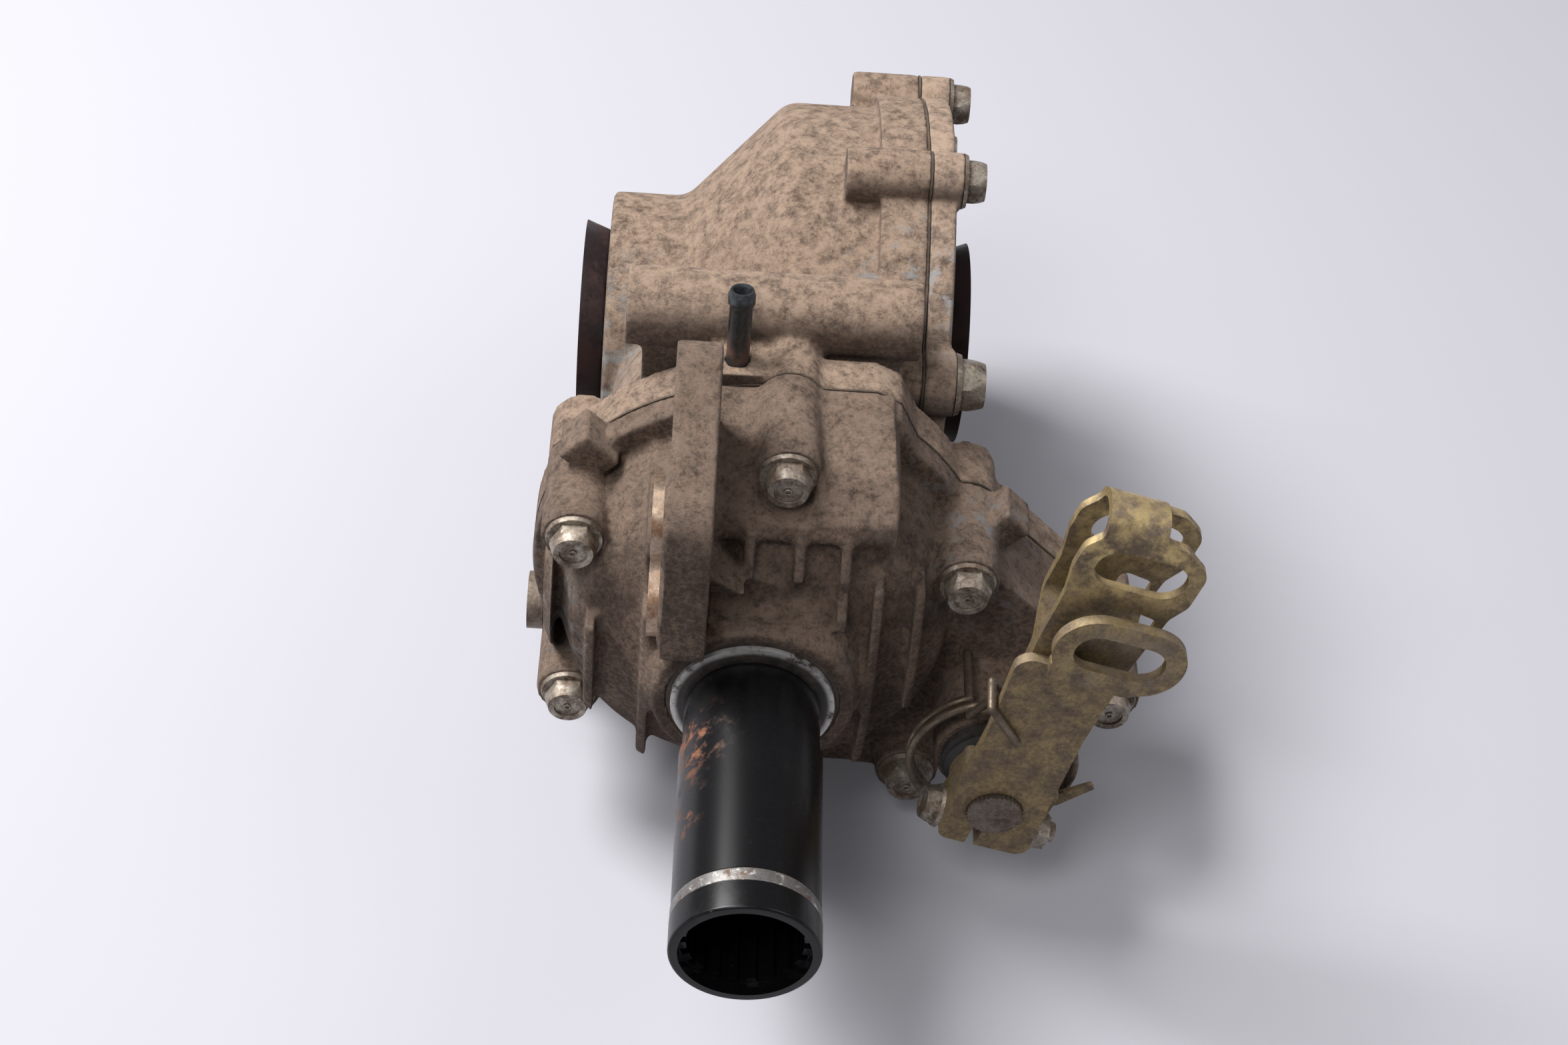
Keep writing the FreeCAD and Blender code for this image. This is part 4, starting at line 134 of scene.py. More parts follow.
class Graph:
    """A material's node tree, built with short calls."""

    def __init__(self, name: str) -> None:
        """Start an empty tree with a Principled shader.

        Args:
            name: name of the material.
        """
        self.material = bpy.data.materials.new(name)
        self.material.use_nodes = True
        self.tree = self.material.node_tree
        self.tree.nodes.clear()
        self.shader = self.node("ShaderNodeBsdfPrincipled")
        out = self.node("ShaderNodeOutputMaterial")
        self.join(self.shader.outputs[0], out.inputs[0])
        self.coords = self.node("ShaderNodeTexCoord").outputs["Object"]

    def node(self, kind: str, **settings: object) -> bpy.types.Node:
        """Add a node and set its properties.

        Args:
            kind: Blender's name for the node.
            settings: properties of the node.

        Returns:
            The new node.
        """
        node = self.tree.nodes.new(kind)
        for key, value in settings.items():
            setattr(node, key, value)
        return node

    def join(self, source: bpy.types.NodeSocket, target: bpy.types.NodeSocket) -> None:
        """Link two sockets."""
        self.tree.links.new(source, target)

    def noise(self, scale: float, detail: float = 6.0, shift: float = 0.0,
              rough: float = 0.6) -> bpy.types.NodeSocket:
        """Noise on Object coordinates.

        Args:
            scale: cells per metre.
            detail: octaves.
            shift: offset that tells one noise from another.
            rough: how strong the fine octaves are.

        Returns:
            The noise's factor.
        """
        place = self.node("ShaderNodeMapping")
        place.inputs["Location"].default_value = (shift, shift * 0.7, shift * 1.3)
        self.join(self.coords, place.inputs["Vector"])
        noise = self.node("ShaderNodeTexNoise")
        noise.inputs["Scale"].default_value = scale
        noise.inputs["Detail"].default_value = detail
        noise.inputs["Roughness"].default_value = rough
        self.join(place.outputs[0], noise.inputs["Vector"])
        return noise.outputs["Fac"]

    def remap(self, value: bpy.types.NodeSocket, low: float, high: float, start: float = 0.0,
              end: float = 1.0) -> bpy.types.NodeSocket:
        """Map a range of values to another, clamped.

        Args:
            value: the socket to read.
            low: input that gives start.
            high: input that gives end.
            start: first output.
            end: last output.

        Returns:
            The mapped value.
        """
        node = self.node("ShaderNodeMapRange", clamp=True, interpolation_type="SMOOTHSTEP")
        for key, number in (("From Min", low), ("From Max", high), ("To Min", start), ("To Max", end)):
            node.inputs[key].default_value = number
        self.join(value, node.inputs["Value"])
        return node.outputs["Result"]

    def times(self, first: bpy.types.NodeSocket, second: bpy.types.NodeSocket) -> bpy.types.NodeSocket:
        """Product of two values."""
        node = self.node("ShaderNodeMath", operation="MULTIPLY")
        self.join(first, node.inputs[0])
        self.join(second, node.inputs[1])
        return node.outputs[0]

    def blend(self, share: bpy.types.NodeSocket, first: object, second: object) -> bpy.types.NodeSocket:
        """Mix two colours, each given as a colour or a socket.

        Args:
            share: amount of the second.
            first: colour shown at 0.
            second: colour shown at 1.

        Returns:
            The mixed colour.
        """
        node = self.node("ShaderNodeMix", data_type="RGBA")
        self.join(share, node.inputs["Factor"])
        for socket, value in ((node.inputs[6], first), (node.inputs[7], second)):
            if isinstance(value, tuple):
                socket.default_value = (*value, 1.0)
            else:
                self.join(value, socket)
        return node.outputs[2]

    def mix_value(self, share: bpy.types.NodeSocket, first: object, second: object) -> bpy.types.NodeSocket:
        """Mix two numbers, each given as a number or a socket."""
        node = self.node("ShaderNodeMix", data_type="FLOAT")
        self.join(share, node.inputs["Factor"])
        for socket, value in ((node.inputs[2], first), (node.inputs[3], second)):
            if isinstance(value, float):
                socket.default_value = value
            else:
                self.join(value, socket)
        return node.outputs[0]


@dataclass(frozen=True)
class Patch:
    """A stained place on a piece: its centre and reach in metres, its colour and how broken it is."""

    centre: Colour
    reach: float
    colour: Colour
    amount: float = 0.6
    roughness: float = 0.85
    metallic: float = 0.1


@dataclass(frozen=True)
class Rim:
    """A worn bright ring round the input axis, between two radii in metres."""

    inner: float
    outer: float
    colour: Colour
    height: float = -0.071


@dataclass(frozen=True)
class Finish:
    """A weathered finish: base, patina, grain, specks, bare edges, dust on the faces that look up (on the
    castings also painted light from above), pits, stains and a worn rim.
    """

    base: Colour
    patina: Colour
    metallic: float = 0.0
    roughness: float = 0.6
    patina_scale: float = 60.0
    patina_range: Span = (0.42, 0.62)
    fine_scale: float = 900.0
    speck: Colour | None = None
    speck_range: Span = (0.62, 0.72)
    pit: Colour | None = None
    top_dust_and_light: Colour | None = None
    top_dust_and_light_amount: float = 0.8
    edge: Colour | None = None
    edge_range: Span = (0.52, 0.60)
    bump: float = 0.15
    bump_depth: float = 0.0004
    specular: float = 0.5
    grain: float = 0.72
    patches: tuple[Patch, ...] = ()
    rim: Rim | None = None

    def material(self, name: str) -> bpy.types.Material:
        """Build the finish as a material.

        Args:
            name: name of the material.

        Returns:
            The material.
        """
        graph = Graph(name)
        broad = graph.noise(self.patina_scale, 10.0, rough=0.74)
        share = graph.remap(broad, *self.patina_range)
        colour = graph.blend(share, self.base, self.patina)
        fine = graph.noise(self.fine_scale, 8.0, shift=3.0, rough=0.84)
        shade = graph.remap(fine, *GRAIN_RANGE)
        colour = graph.blend(shade, self.darker(graph, colour), colour)
        metal = graph.mix_value(share, self.metallic, self.metallic * 0.55)
        rough = graph.mix_value(share, self.roughness, min(1.0, self.roughness + 0.25))
        if self.speck is not None:
            specks = graph.remap(graph.noise(SPECK_SCALE, shift=5.0, rough=0.75), *self.speck_range)
            colour = graph.blend(specks, colour, self.speck)
        if self.edge is not None:
            shape = graph.node("ShaderNodeNewGeometry").outputs["Pointiness"]
            worn = graph.times(graph.remap(shape, *self.edge_range), graph.remap(broad, *WEAR_RANGE))
            colour = graph.blend(worn, colour, self.edge)
            metal = graph.mix_value(worn, metal, 0.8)
        if self.top_dust_and_light is not None:
            colour, rough, metal = self.dust_and_top_light(graph, colour, rough, metal)
        if self.pit is not None:
            pits = graph.remap(graph.noise(PIT_SCALE, shift=23.0, rough=0.8), *PIT_RANGE)
            colour = graph.blend(pits, colour, self.pit)
        for number, patch in enumerate(self.patches):
            stain = self.stain(graph, patch, 13.0 + number)
            colour = graph.blend(stain, colour, patch.colour)
            rough = graph.mix_value(stain, rough, patch.roughness)
            metal = graph.mix_value(stain, metal, patch.metallic)
        if self.rim is not None:
            worn = self.worn_rim(graph, self.rim)
            colour = graph.blend(worn, colour, self.rim.colour)
            metal = graph.mix_value(worn, metal, 0.9)
        graph.join(colour, graph.shader.inputs["Base Color"])
        graph.join(rough, graph.shader.inputs["Roughness"])
        graph.join(metal, graph.shader.inputs["Metallic"])
        graph.shader.inputs["Specular IOR Level"].default_value = self.specular
        self.relief(graph, fine)
        return graph.material

    def darker(self, graph: Graph, colour: bpy.types.NodeSocket) -> bpy.types.NodeSocket:
        """The colour with less light, for the pits of the grain."""
        node = graph.node("ShaderNodeHueSaturation")
        node.inputs["Value"].default_value = self.grain
        graph.join(colour, node.inputs["Color"])
        return node.outputs[0]

    def dust_and_top_light(self, graph: Graph, colour: bpy.types.NodeSocket, rough: bpy.types.NodeSocket,
               metal: bpy.types.NodeSocket) -> tuple[bpy.types.NodeSocket, ...]:
        """Lay dry dust on the faces that look up; where its colour is paler than the base, as on the
        castings, it is also painted light falling from above.

        Args:
            graph: the material's tree.
            colour: colour under the dust and painted top light.
            rough: roughness under the dust and painted top light.
            metal: metalness under the dust and painted top light.

        Returns:
            Colour, roughness and metalness with the dust and painted top light.
        """
        parts = graph.node("ShaderNodeSeparateXYZ")
        graph.join(graph.node("ShaderNodeNewGeometry").outputs["Normal"], parts.inputs[0])
        # Faces that look up get the top colour: dust, and on the castings painted light from above.
        lying = graph.remap(parts.outputs[2], -0.1, 0.75, 0.0, self.top_dust_and_light_amount)
        broken = graph.remap(graph.noise(TOP_DUST_AND_LIGHT_SCALE, 10.0, shift=9.0, rough=0.82), *TOP_DUST_AND_LIGHT_RANGE)
        share = graph.times(lying, broken)
        return (graph.blend(share, colour, self.top_dust_and_light), graph.mix_value(share, rough, 0.92),
                graph.mix_value(share, metal, 0.0))

    def stain(self, graph: Graph, patch: Patch, shift: float) -> bpy.types.NodeSocket:
        """Amount of a patch: a broken blot round its centre."""
        away = graph.node("ShaderNodeVectorMath", operation="DISTANCE")
        graph.join(graph.coords, away.inputs[0])
        away.inputs[1].default_value = patch.centre
        near = graph.remap(away.outputs["Value"], patch.reach, patch.reach * 0.2)
        blots = graph.noise(STAIN_SCALE, 8.0, shift=shift, rough=0.7)
        broken = graph.remap(blots, 0.62 - patch.amount * 0.3, 0.66)
        return graph.times(near, broken)

    def worn_rim(self, graph: Graph, rim: Rim) -> bpy.types.NodeSocket:
        """Amount of the worn ring: distance from the input axis, broken by noise."""
        shift = graph.node("ShaderNodeVectorMath", operation="MULTIPLY_ADD")
        graph.join(graph.coords, shift.inputs[0])
        shift.inputs[1].default_value = (1.0, 0.0, 1.0)
        shift.inputs[2].default_value = (0.0, 0.0, -rim.height)
        length = graph.node("ShaderNodeVectorMath", operation="LENGTH")
        graph.join(shift.outputs[0], length.inputs[0])
        ring = graph.remap(length.outputs["Value"], rim.inner, rim.outer)
        return graph.times(ring, graph.remap(graph.noise(RIM_SCALE, shift=17.0, rough=0.7), *RIM_RANGE))

    def relief(self, graph: Graph, fine: bpy.types.NodeSocket) -> None:
        """Raise the grain of the surface by a bump."""
        bump = graph.node("ShaderNodeBump")
        bump.inputs["Strength"].default_value = self.bump
        bump.inputs["Distance"].default_value = self.bump_depth
        graph.join(fine, bump.inputs["Height"])
        graph.join(bump.outputs[0], graph.shader.inputs["Normal"])


# Paler than the casting bases: dust, and painted light on the faces that look up.
DUST_AND_TOP_LIGHT = (0.52, 0.372, 0.268)
RUST = (0.20, 0.065, 0.022)
BARE = (0.40, 0.405, 0.41)
GOLD = (0.62, 0.47, 0.22)

FINISHES: dict[str, Finish] = {
    "case_casting": Finish((0.285, 0.199, 0.146), (0.165, 0.104, 0.069), 0.0, 0.85, 26.0, (0.35, 0.66), 680.0,
                           speck=BARE, speck_range=(0.655, 0.74), top_dust_and_light=DUST_AND_TOP_LIGHT, top_dust_and_light_amount=0.9,
                           pit=(0.075, 0.047, 0.032), edge=(0.36, 0.33, 0.29), bump=1.0,
                           bump_depth=0.0016, grain=0.5,
                           patches=(Patch((-0.047, 0.045, -0.06), 0.045, (0.34, 0.335, 0.32), 0.55),
                                    Patch((0.043, 0.03, -0.01), 0.03, (0.36, 0.37, 0.375), 0.35))),
    # The cover's top colour is paler than its base: dust, and painted light on its upward faces.
    "cover_casting": Finish((0.30, 0.200, 0.139), (0.115, 0.070, 0.046), 0.0, 0.82, 34.0, (0.37, 0.63), 620.0,
                            speck=(0.31, 0.305, 0.30), speck_range=(0.64, 0.73), top_dust_and_light=(0.40, 0.285, 0.21),
                            pit=(0.05, 0.033, 0.023), top_dust_and_light_amount=0.60, edge=(0.36, 0.31, 0.26),
                            bump=1.0, bump_depth=0.0020, grain=0.36,
                            patches=(Patch((-0.05, -0.045, -0.075), 0.035, (0.27, 0.265, 0.255), 0.45),
                                     Patch((0.06, -0.04, -0.05), 0.035, (0.26, 0.255, 0.25), 0.4))),
    "side_cover_casting": Finish((0.235, 0.17, 0.125), (0.15, 0.105, 0.078), 0.0, 0.8, 45.0, fine_scale=620.0,
                                 speck=BARE, top_dust_and_light=DUST_AND_TOP_LIGHT, edge=(0.38, 0.36, 0.33), bump=1.0, bump_depth=0.0010,
                                 grain=0.6, patches=(Patch((0.052, 0.02, 0.0), 0.03, BARE, 0.4),)),
    "gasket_fibre": Finish((0.105, 0.072, 0.05), (0.055, 0.04, 0.03), 0.0, 0.95, 160.0, bump=0.4),
    "zinc_bolts": Finish((0.40, 0.36, 0.305), (0.115, 0.078, 0.052), 0.85, 0.34, 150.0, (0.40, 0.60),
                         speck=(0.09, 0.045, 0.025), speck_range=(0.56, 0.68), top_dust_and_light=(0.26, 0.185, 0.13),
                         top_dust_and_light_amount=0.35, bump=0.35, bump_depth=0.0003, grain=0.66),
    "large_bolt": Finish((0.33, 0.29, 0.235), (0.15, 0.105, 0.07), 0.85, 0.36, 130.0,
                         speck=(0.10, 0.05, 0.028), speck_range=(0.56, 0.68), bump=0.3, bump_depth=0.0003),
    "dowel_steel": Finish((0.55, 0.55, 0.55), (0.4, 0.38, 0.35), 1.0, 0.25),
    "breather_steel": Finish((0.085, 0.098, 0.105), (0.05, 0.055, 0.06), 0.9, 0.24, 150.0, bump=0.08,
                             patches=(Patch((-0.011, -0.0165, 0.002), 0.009, RUST, 0.8),)),
    "plug_steel": Finish((0.24, 0.19, 0.145), (0.13, 0.09, 0.065), 0.5, 0.55, 120.0, bump=0.4, grain=0.6),
    "bushing_steel": Finish((0.46, 0.35, 0.26), (0.25, 0.13, 0.07), 0.9, 0.33, 140.0, speck=RUST, bump=0.2),
    "seal_rubber": Finish((0.045, 0.036, 0.03), (0.10, 0.072, 0.052), 0.0, 0.7, 120.0, bump=0.25),
    "guard_rubber": Finish((0.016, 0.010, 0.011), (0.035, 0.014, 0.013), 0.0, 0.38, 60.0, bump=0.1),
    "bearing_steel": Finish((0.58, 0.58, 0.59), (0.42, 0.40, 0.37), 1.0, 0.22, 90.0, bump=0.05),
    "lock_ring_steel": Finish((0.40, 0.40, 0.40), (0.28, 0.26, 0.23), 1.0, 0.35),
    "sleeve_black": Finish((0.0035, 0.0035, 0.004), (0.008, 0.0075, 0.008), 0.0, 0.27, 30.0, (0.5, 0.75),
                           speck=(0.12, 0.115, 0.11), speck_range=(0.67, 0.75), specular=0.26,
                           bump=0.03, bump_depth=0.0002,
                           patches=(Patch((-0.017, -0.112, -0.060), 0.017, (0.24, 0.10, 0.055), 0.42),
                                    Patch((-0.019, -0.134, -0.066), 0.015, (0.20, 0.085, 0.05), 0.30))),
    "band_steel": Finish((0.20, 0.19, 0.18), (0.12, 0.07, 0.045), 0.7, 0.38, 300.0, (0.50, 0.66),
                         speck=(0.52, 0.50, 0.48), speck_range=(0.55, 0.66), bump=0.3, bump_depth=0.0002),
    "disc_steel": Finish((0.030, 0.028, 0.026), (0.055, 0.042, 0.033), 0.35, 0.5, 110.0,
                         speck=(0.30, 0.28, 0.26), speck_range=(0.66, 0.74), bump=0.25, bump_depth=0.0003,
                         rim=Rim(0.0208, 0.0226, (0.52, 0.51, 0.49))),
    "shaft_steel": Finish((0.46, 0.46, 0.47), (0.32, 0.30, 0.28), 1.0, 0.3, 90.0, bump=0.05),
    "hub_steel": Finish((0.40, 0.40, 0.41), (0.28, 0.26, 0.24), 1.0, 0.35, 90.0, bump=0.05),
    "friction_lining": Finish((0.17, 0.10, 0.055), (0.10, 0.06, 0.035), 0.0, 0.8, 140.0, bump=0.4),
    "plate_steel": Finish((0.40, 0.40, 0.41), (0.30, 0.28, 0.25), 1.0, 0.28, 80.0, bump=0.05),
    "cam_steel": Finish((0.19, 0.155, 0.125), (0.085, 0.06, 0.045), 0.8, 0.42, 170.0,
                        speck=(0.36, 0.33, 0.29), bump=0.3, bump_depth=0.0003),
    "lever_zinc": Finish((0.30, 0.22, 0.10), (0.13, 0.092, 0.062), 0.6, 0.40, 150.0, (0.36, 0.64),
                         speck=(0.055, 0.037, 0.025), speck_range=(0.60, 0.70), top_dust_and_light=(0.26, 0.20, 0.145),
                         top_dust_and_light_amount=0.4, bump=0.4, bump_depth=0.0004, grain=0.62,
                         patches=(Patch((0.098, -0.083, 0.002), 0.032, GOLD, 0.75, 0.3, 0.9),
                                  Patch((0.099, -0.0966, -0.0315), 0.020, (0.22, 0.18, 0.13),
                                        0.7, 0.4, 0.7))),
    "boot_rubber": Finish((0.016, 0.015, 0.015), (0.04, 0.032, 0.026), 0.0, 0.6, 90.0, bump=0.15),
    "spring_steel": Finish((0.19, 0.15, 0.105), (0.09, 0.063, 0.045), 0.8, 0.38, 160.0, bump=0.2,
                           bump_depth=0.0002),
    "gear_steel": Finish((0.46, 0.46, 0.47), (0.30, 0.28, 0.26), 1.0, 0.28, 90.0, bump=0.05),
    "carrier_iron": Finish((0.22, 0.22, 0.225), (0.15, 0.14, 0.13), 0.8, 0.5, 90.0, bump=0.3),
    "washer_bronze": Finish((0.50, 0.33, 0.13), (0.35, 0.22, 0.09), 1.0, 0.3, 90.0),
}


def new_mesh_object(name: str, mesh: bpy.types.Mesh) -> bpy.types.Object:
    """A new object that holds a mesh, linked to the scene."""
    piece = bpy.data.objects.new(name, mesh)
    bpy.context.scene.collection.objects.link(piece)
    return piece


def settled(piece: bpy.types.Object) -> bpy.types.Object:
    """Apply a piece's modifiers to its mesh.

    Args:
        piece: object with modifiers.

    Returns:
        The same object, with the result as its plain mesh.
    """
    graph = bpy.context.evaluated_depsgraph_get()
    mesh = bpy.data.meshes.new_from_object(piece.evaluated_get(graph))
    old = piece.data
    piece.modifiers.clear()
    piece.data = mesh
    mesh.name = piece.name
    bpy.data.meshes.remove(old)
    return piece


def merged_copy(node: bpy.types.Object, name: str) -> bpy.types.Object:
    """A copy of a CAD node with its loose triangles joined into one surface."""
    mesh = node.data.copy()
    stale = ("custom_normal", "sharp_edge", "sharp_face")
    for layer in [layer for layer in mesh.attributes if layer.name in stale]:
        mesh.attributes.remove(layer)
    shape = bmesh.new()
    shape.from_mesh(mesh)
    bmesh.ops.remove_doubles(shape, verts=shape.verts, dist=WELD)
    bmesh.ops.dissolve_degenerate(shape, edges=shape.edges, dist=SLIVER)
    shape.to_mesh(mesh)
    shape.free()
    return new_mesh_object(name, mesh)


@dataclass
class Workshop:
    """Holds the loaded frame and the materials, and dresses the CAD nodes."""

    frame: dict
    materials: dict[str, bpy.types.Material] = field(default_factory=dict)

    def material(self, slot: str) -> bpy.types.Material:
        """The material of a slot, built when it is first asked for."""
        if slot not in self.materials:
            self.materials[slot] = FINISHES[slot].material(slot)
        return self.materials[slot]

    def slot_of(self, node: str) -> str:
        """The record's material slot of a node."""
        for part in self.frame["record"]["subparts"]:
            if part["node"] == node:
                return part["material_slot"]
        raise KeyError(node)

    def body_of(self, node: str) -> str:
        """The body that a node belongs to."""
        for body, nodes in self.frame["record"]["behaviour"]["bodies"].items():
            if node in nodes:
                return body
        raise KeyError(node)

    def dress_node(self, node: str) -> None:
        """Give a CAD node its finish."""
        holder = self.frame["nodes"][node]
        holder.data.materials.clear()
        holder.data.materials.append(self.material(self.slot_of(node)))

    def dress(self, piece: bpy.types.Object, slot: str) -> None:
        """Give a new piece its material, which is named after its slot."""
        piece.data.materials.clear()
        piece.data.materials.append(self.material(slot))

    def keep(self, piece: bpy.types.Object, body: str, slot: str) -> None:
        """Finish a new piece: its material, named after its slot, and the body that it rides on."""
        self.dress(piece, slot)
        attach(piece, body)
        LOG.info("%s: %d faces on %s", piece.name, len(piece.data.polygons), body)

    def smooth(self, node: str, angle: float) -> bpy.types.Object:
        """Stand a smooth-shaded copy in for a CAD node and let it ride on the node's body."""
        piece = self.skin(node, angle)
        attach(piece, self.body_of(node))
        return piece

    def skin(self, node: str, angle: float) -> bpy.types.Object:
        """Stand a smooth-shaded copy in for a CAD node.

        Args:
            node: name of the CAD node.
            angle: edges sharper than this many degrees stay sharp.

        Returns:
            The new piece, which rides on no body yet.
        """
        piece = merged_copy(self.frame["nodes"][node], node + "_skin")
        for face in piece.data.polygons:
            face.use_smooth = True
        piece.data.set_sharp_from_angle(angle=math.radians(angle))
        self.dress(piece, self.slot_of(node))
        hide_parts(node)
        return piece


@dataclass
class Castings:
    """The three aluminium castings, with the soft edges of sand-cast metal."""

    shop: Workshop
    grain: float = 1.0 * MM
    passes: int = 3
    limit: int = 190000
    nodes: tuple[str, ...] = ("main_case", "front_cover", "side_cover")

    def build(self) -> None:
        """Make and dress each casting."""
        for node in self.nodes:
            self.cast(node)

    def cast(self, node: str) -> bpy.types.Object:
        """Remesh a casting finely and soften it.

        Args:
            node: name of the CAD node.

        Returns:
            The new piece.
        """
        piece = merged_copy(self.shop.frame["nodes"][node], node + "_cast")
        remesh = piece.modifiers.new("grain", "REMESH")
        remesh.mode = "VOXEL"
        remesh.voxel_size = self.grain
        remesh.adaptivity = 0.0
        soften = piece.modifiers.new("soften", "SMOOTH")
        soften.factor = 0.5
        soften.iterations = self.passes
        settled(piece)
        count = sum(len(face.vertices) - 2 for face in piece.data.polygons)
        if count > self.limit:
            thin = piece.modifiers.new("thin", "DECIMATE")
            thin.ratio = self.limit / count
            settled(piece)
        for face in piece.data.polygons:
            face.use_smooth = True
        self.shop.keep(piece, "housing", self.shop.slot_of(node))
        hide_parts(node)
        return piece


class Rows:
    """Geometry Nodes trees for what repeats round an axis or over a set of points."""

    @staticmethod
    def tree(name: str, inputs: dict[str, tuple[str, object]]) -> tuple[bpy.types.NodeTree, bpy.types.Node]:
        """Start a tree with named inputs.

        Args:
            name: name of the tree.
            inputs: socket type and first value of each input.

        Returns:
            The tree and its Group Input node.
        """
        tree = bpy.data.node_groups.new(name, "GeometryNodeTree")
        tree.interface.new_socket("Geometry", in_out="INPUT", socket_type="NodeSocketGeometry")
        for key, (kind, value) in inputs.items():
            socket = tree.interface.new_socket(key, in_out="INPUT", socket_type=kind)
            if value is not None:
                socket.default_value = value
        tree.interface.new_socket("Geometry", in_out="OUTPUT", socket_type="NodeSocketGeometry")
        return tree, tree.nodes.new("NodeGroupInput")

    @staticmethod
    def finish(tree: bpy.types.NodeTree, source: bpy.types.NodeSocket, material: bpy.types.Material) -> None:
        """End a tree in Realize Instances, smooth shading and Set Material."""
        realize = tree.nodes.new("GeometryNodeRealizeInstances")
        shade = tree.nodes.new("GeometryNodeSetShadeSmooth")
        paint = tree.nodes.new("GeometryNodeSetMaterial")
        paint.inputs["Material"].default_value = material
        out = tree.nodes.new("NodeGroupOutput")
        tree.links.new(source, realize.inputs[0])
        tree.links.new(realize.outputs[0], shade.inputs["Geometry"])
        tree.links.new(shade.outputs[0], paint.inputs["Geometry"])
        tree.links.new(paint.outputs[0], out.inputs[0])

    @staticmethod
    def grown(name: str, tree: bpy.types.NodeTree, start: bpy.types.Mesh) -> bpy.types.Object:
        """Run a tree on a start mesh and keep the result as a plain mesh."""
        piece = new_mesh_object(name, start)
        modifier = piece.modifiers.new("rows", "NODES")
        modifier.node_group = tree
        return settled(piece)


@dataclass
class BallBearings:
    """Rows of balls that run between the rings of the four bearings."""

    shop: Workshop
    balls: int = 11
    gap_share: float = 0.294
    width_share: float = 0.3
    rows: tuple[tuple[str, Axis], ...] = (
        ("front_bearing", Axis.INPUT), ("pinion_bearing", Axis.INPUT),
        ("left_bearing", Axis.OUTPUT), ("right_bearing", Axis.OUTPUT),
    )

    def build(self) -> None:
        """Make the balls of each bearing."""
        for name, axis in self.rows:
            self.row(name, axis)

    def row(self, name: str, axis: Axis) -> None:
        """Make one row of balls.

        Args:
            name: name of the bearing's nodes without their ending.
            axis: axis that the bearing turns about.
        """
        low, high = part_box(name + "_outer")
        _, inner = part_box(name + "_inner")
        middle = (low + high) / 2
        outer_r = (high.z - low.z) / 2
        inner_r = inner.z - middle.z
        width = high.y - low.y if axis is Axis.INPUT else high.x - low.x
        radius = min((outer_r - inner_r) * self.gap_share, width * self.width_share)
        material = self.shop.material("bearing_steel")
        tree, given = Rows.tree(name + "_rows", {
            "Balls": ("NodeSocketInt", self.balls),
            "Ring Radius": ("NodeSocketFloat", inner_r + radius * 1.1),
            "Ball Radius": ("NodeSocketFloat", radius), "Centre": ("NodeSocketVector", tuple(middle)),
            "Turn": ("NodeSocketVector", axis.value),
        })
        ring = tree.nodes.new("GeometryNodeMeshCircle")
        ball = tree.nodes.new("GeometryNodeMeshUVSphere")
        ball.inputs["Segments"].default_value = 16
        ball.inputs["Rings"].default_value = 10
        spread = tree.nodes.new("GeometryNodeInstanceOnPoints")
        place = tree.nodes.new("GeometryNodeTransform")
        tree.links.new(given.outputs["Balls"], ring.inputs["Vertices"])
        tree.links.new(given.outputs["Ring Radius"], ring.inputs["Radius"])
        tree.links.new(given.outputs["Ball Radius"], ball.inputs["Radius"])
        tree.links.new(ring.outputs["Mesh"], spread.inputs["Points"])
        tree.links.new(ball.outputs["Mesh"], spread.inputs["Instance"])
        tree.links.new(spread.outputs[0], place.inputs["Geometry"])
        tree.links.new(given.outputs["Centre"], place.inputs["Translation"])
        tree.links.new(given.outputs["Turn"], place.inputs["Rotation"])
        Rows.finish(tree, place.outputs[0], material)
        piece = Rows.grown(name + "_balls", tree, bpy.data.meshes.new(name + "_balls"))
        self.shop.keep(piece, "housing", "bearing_steel")


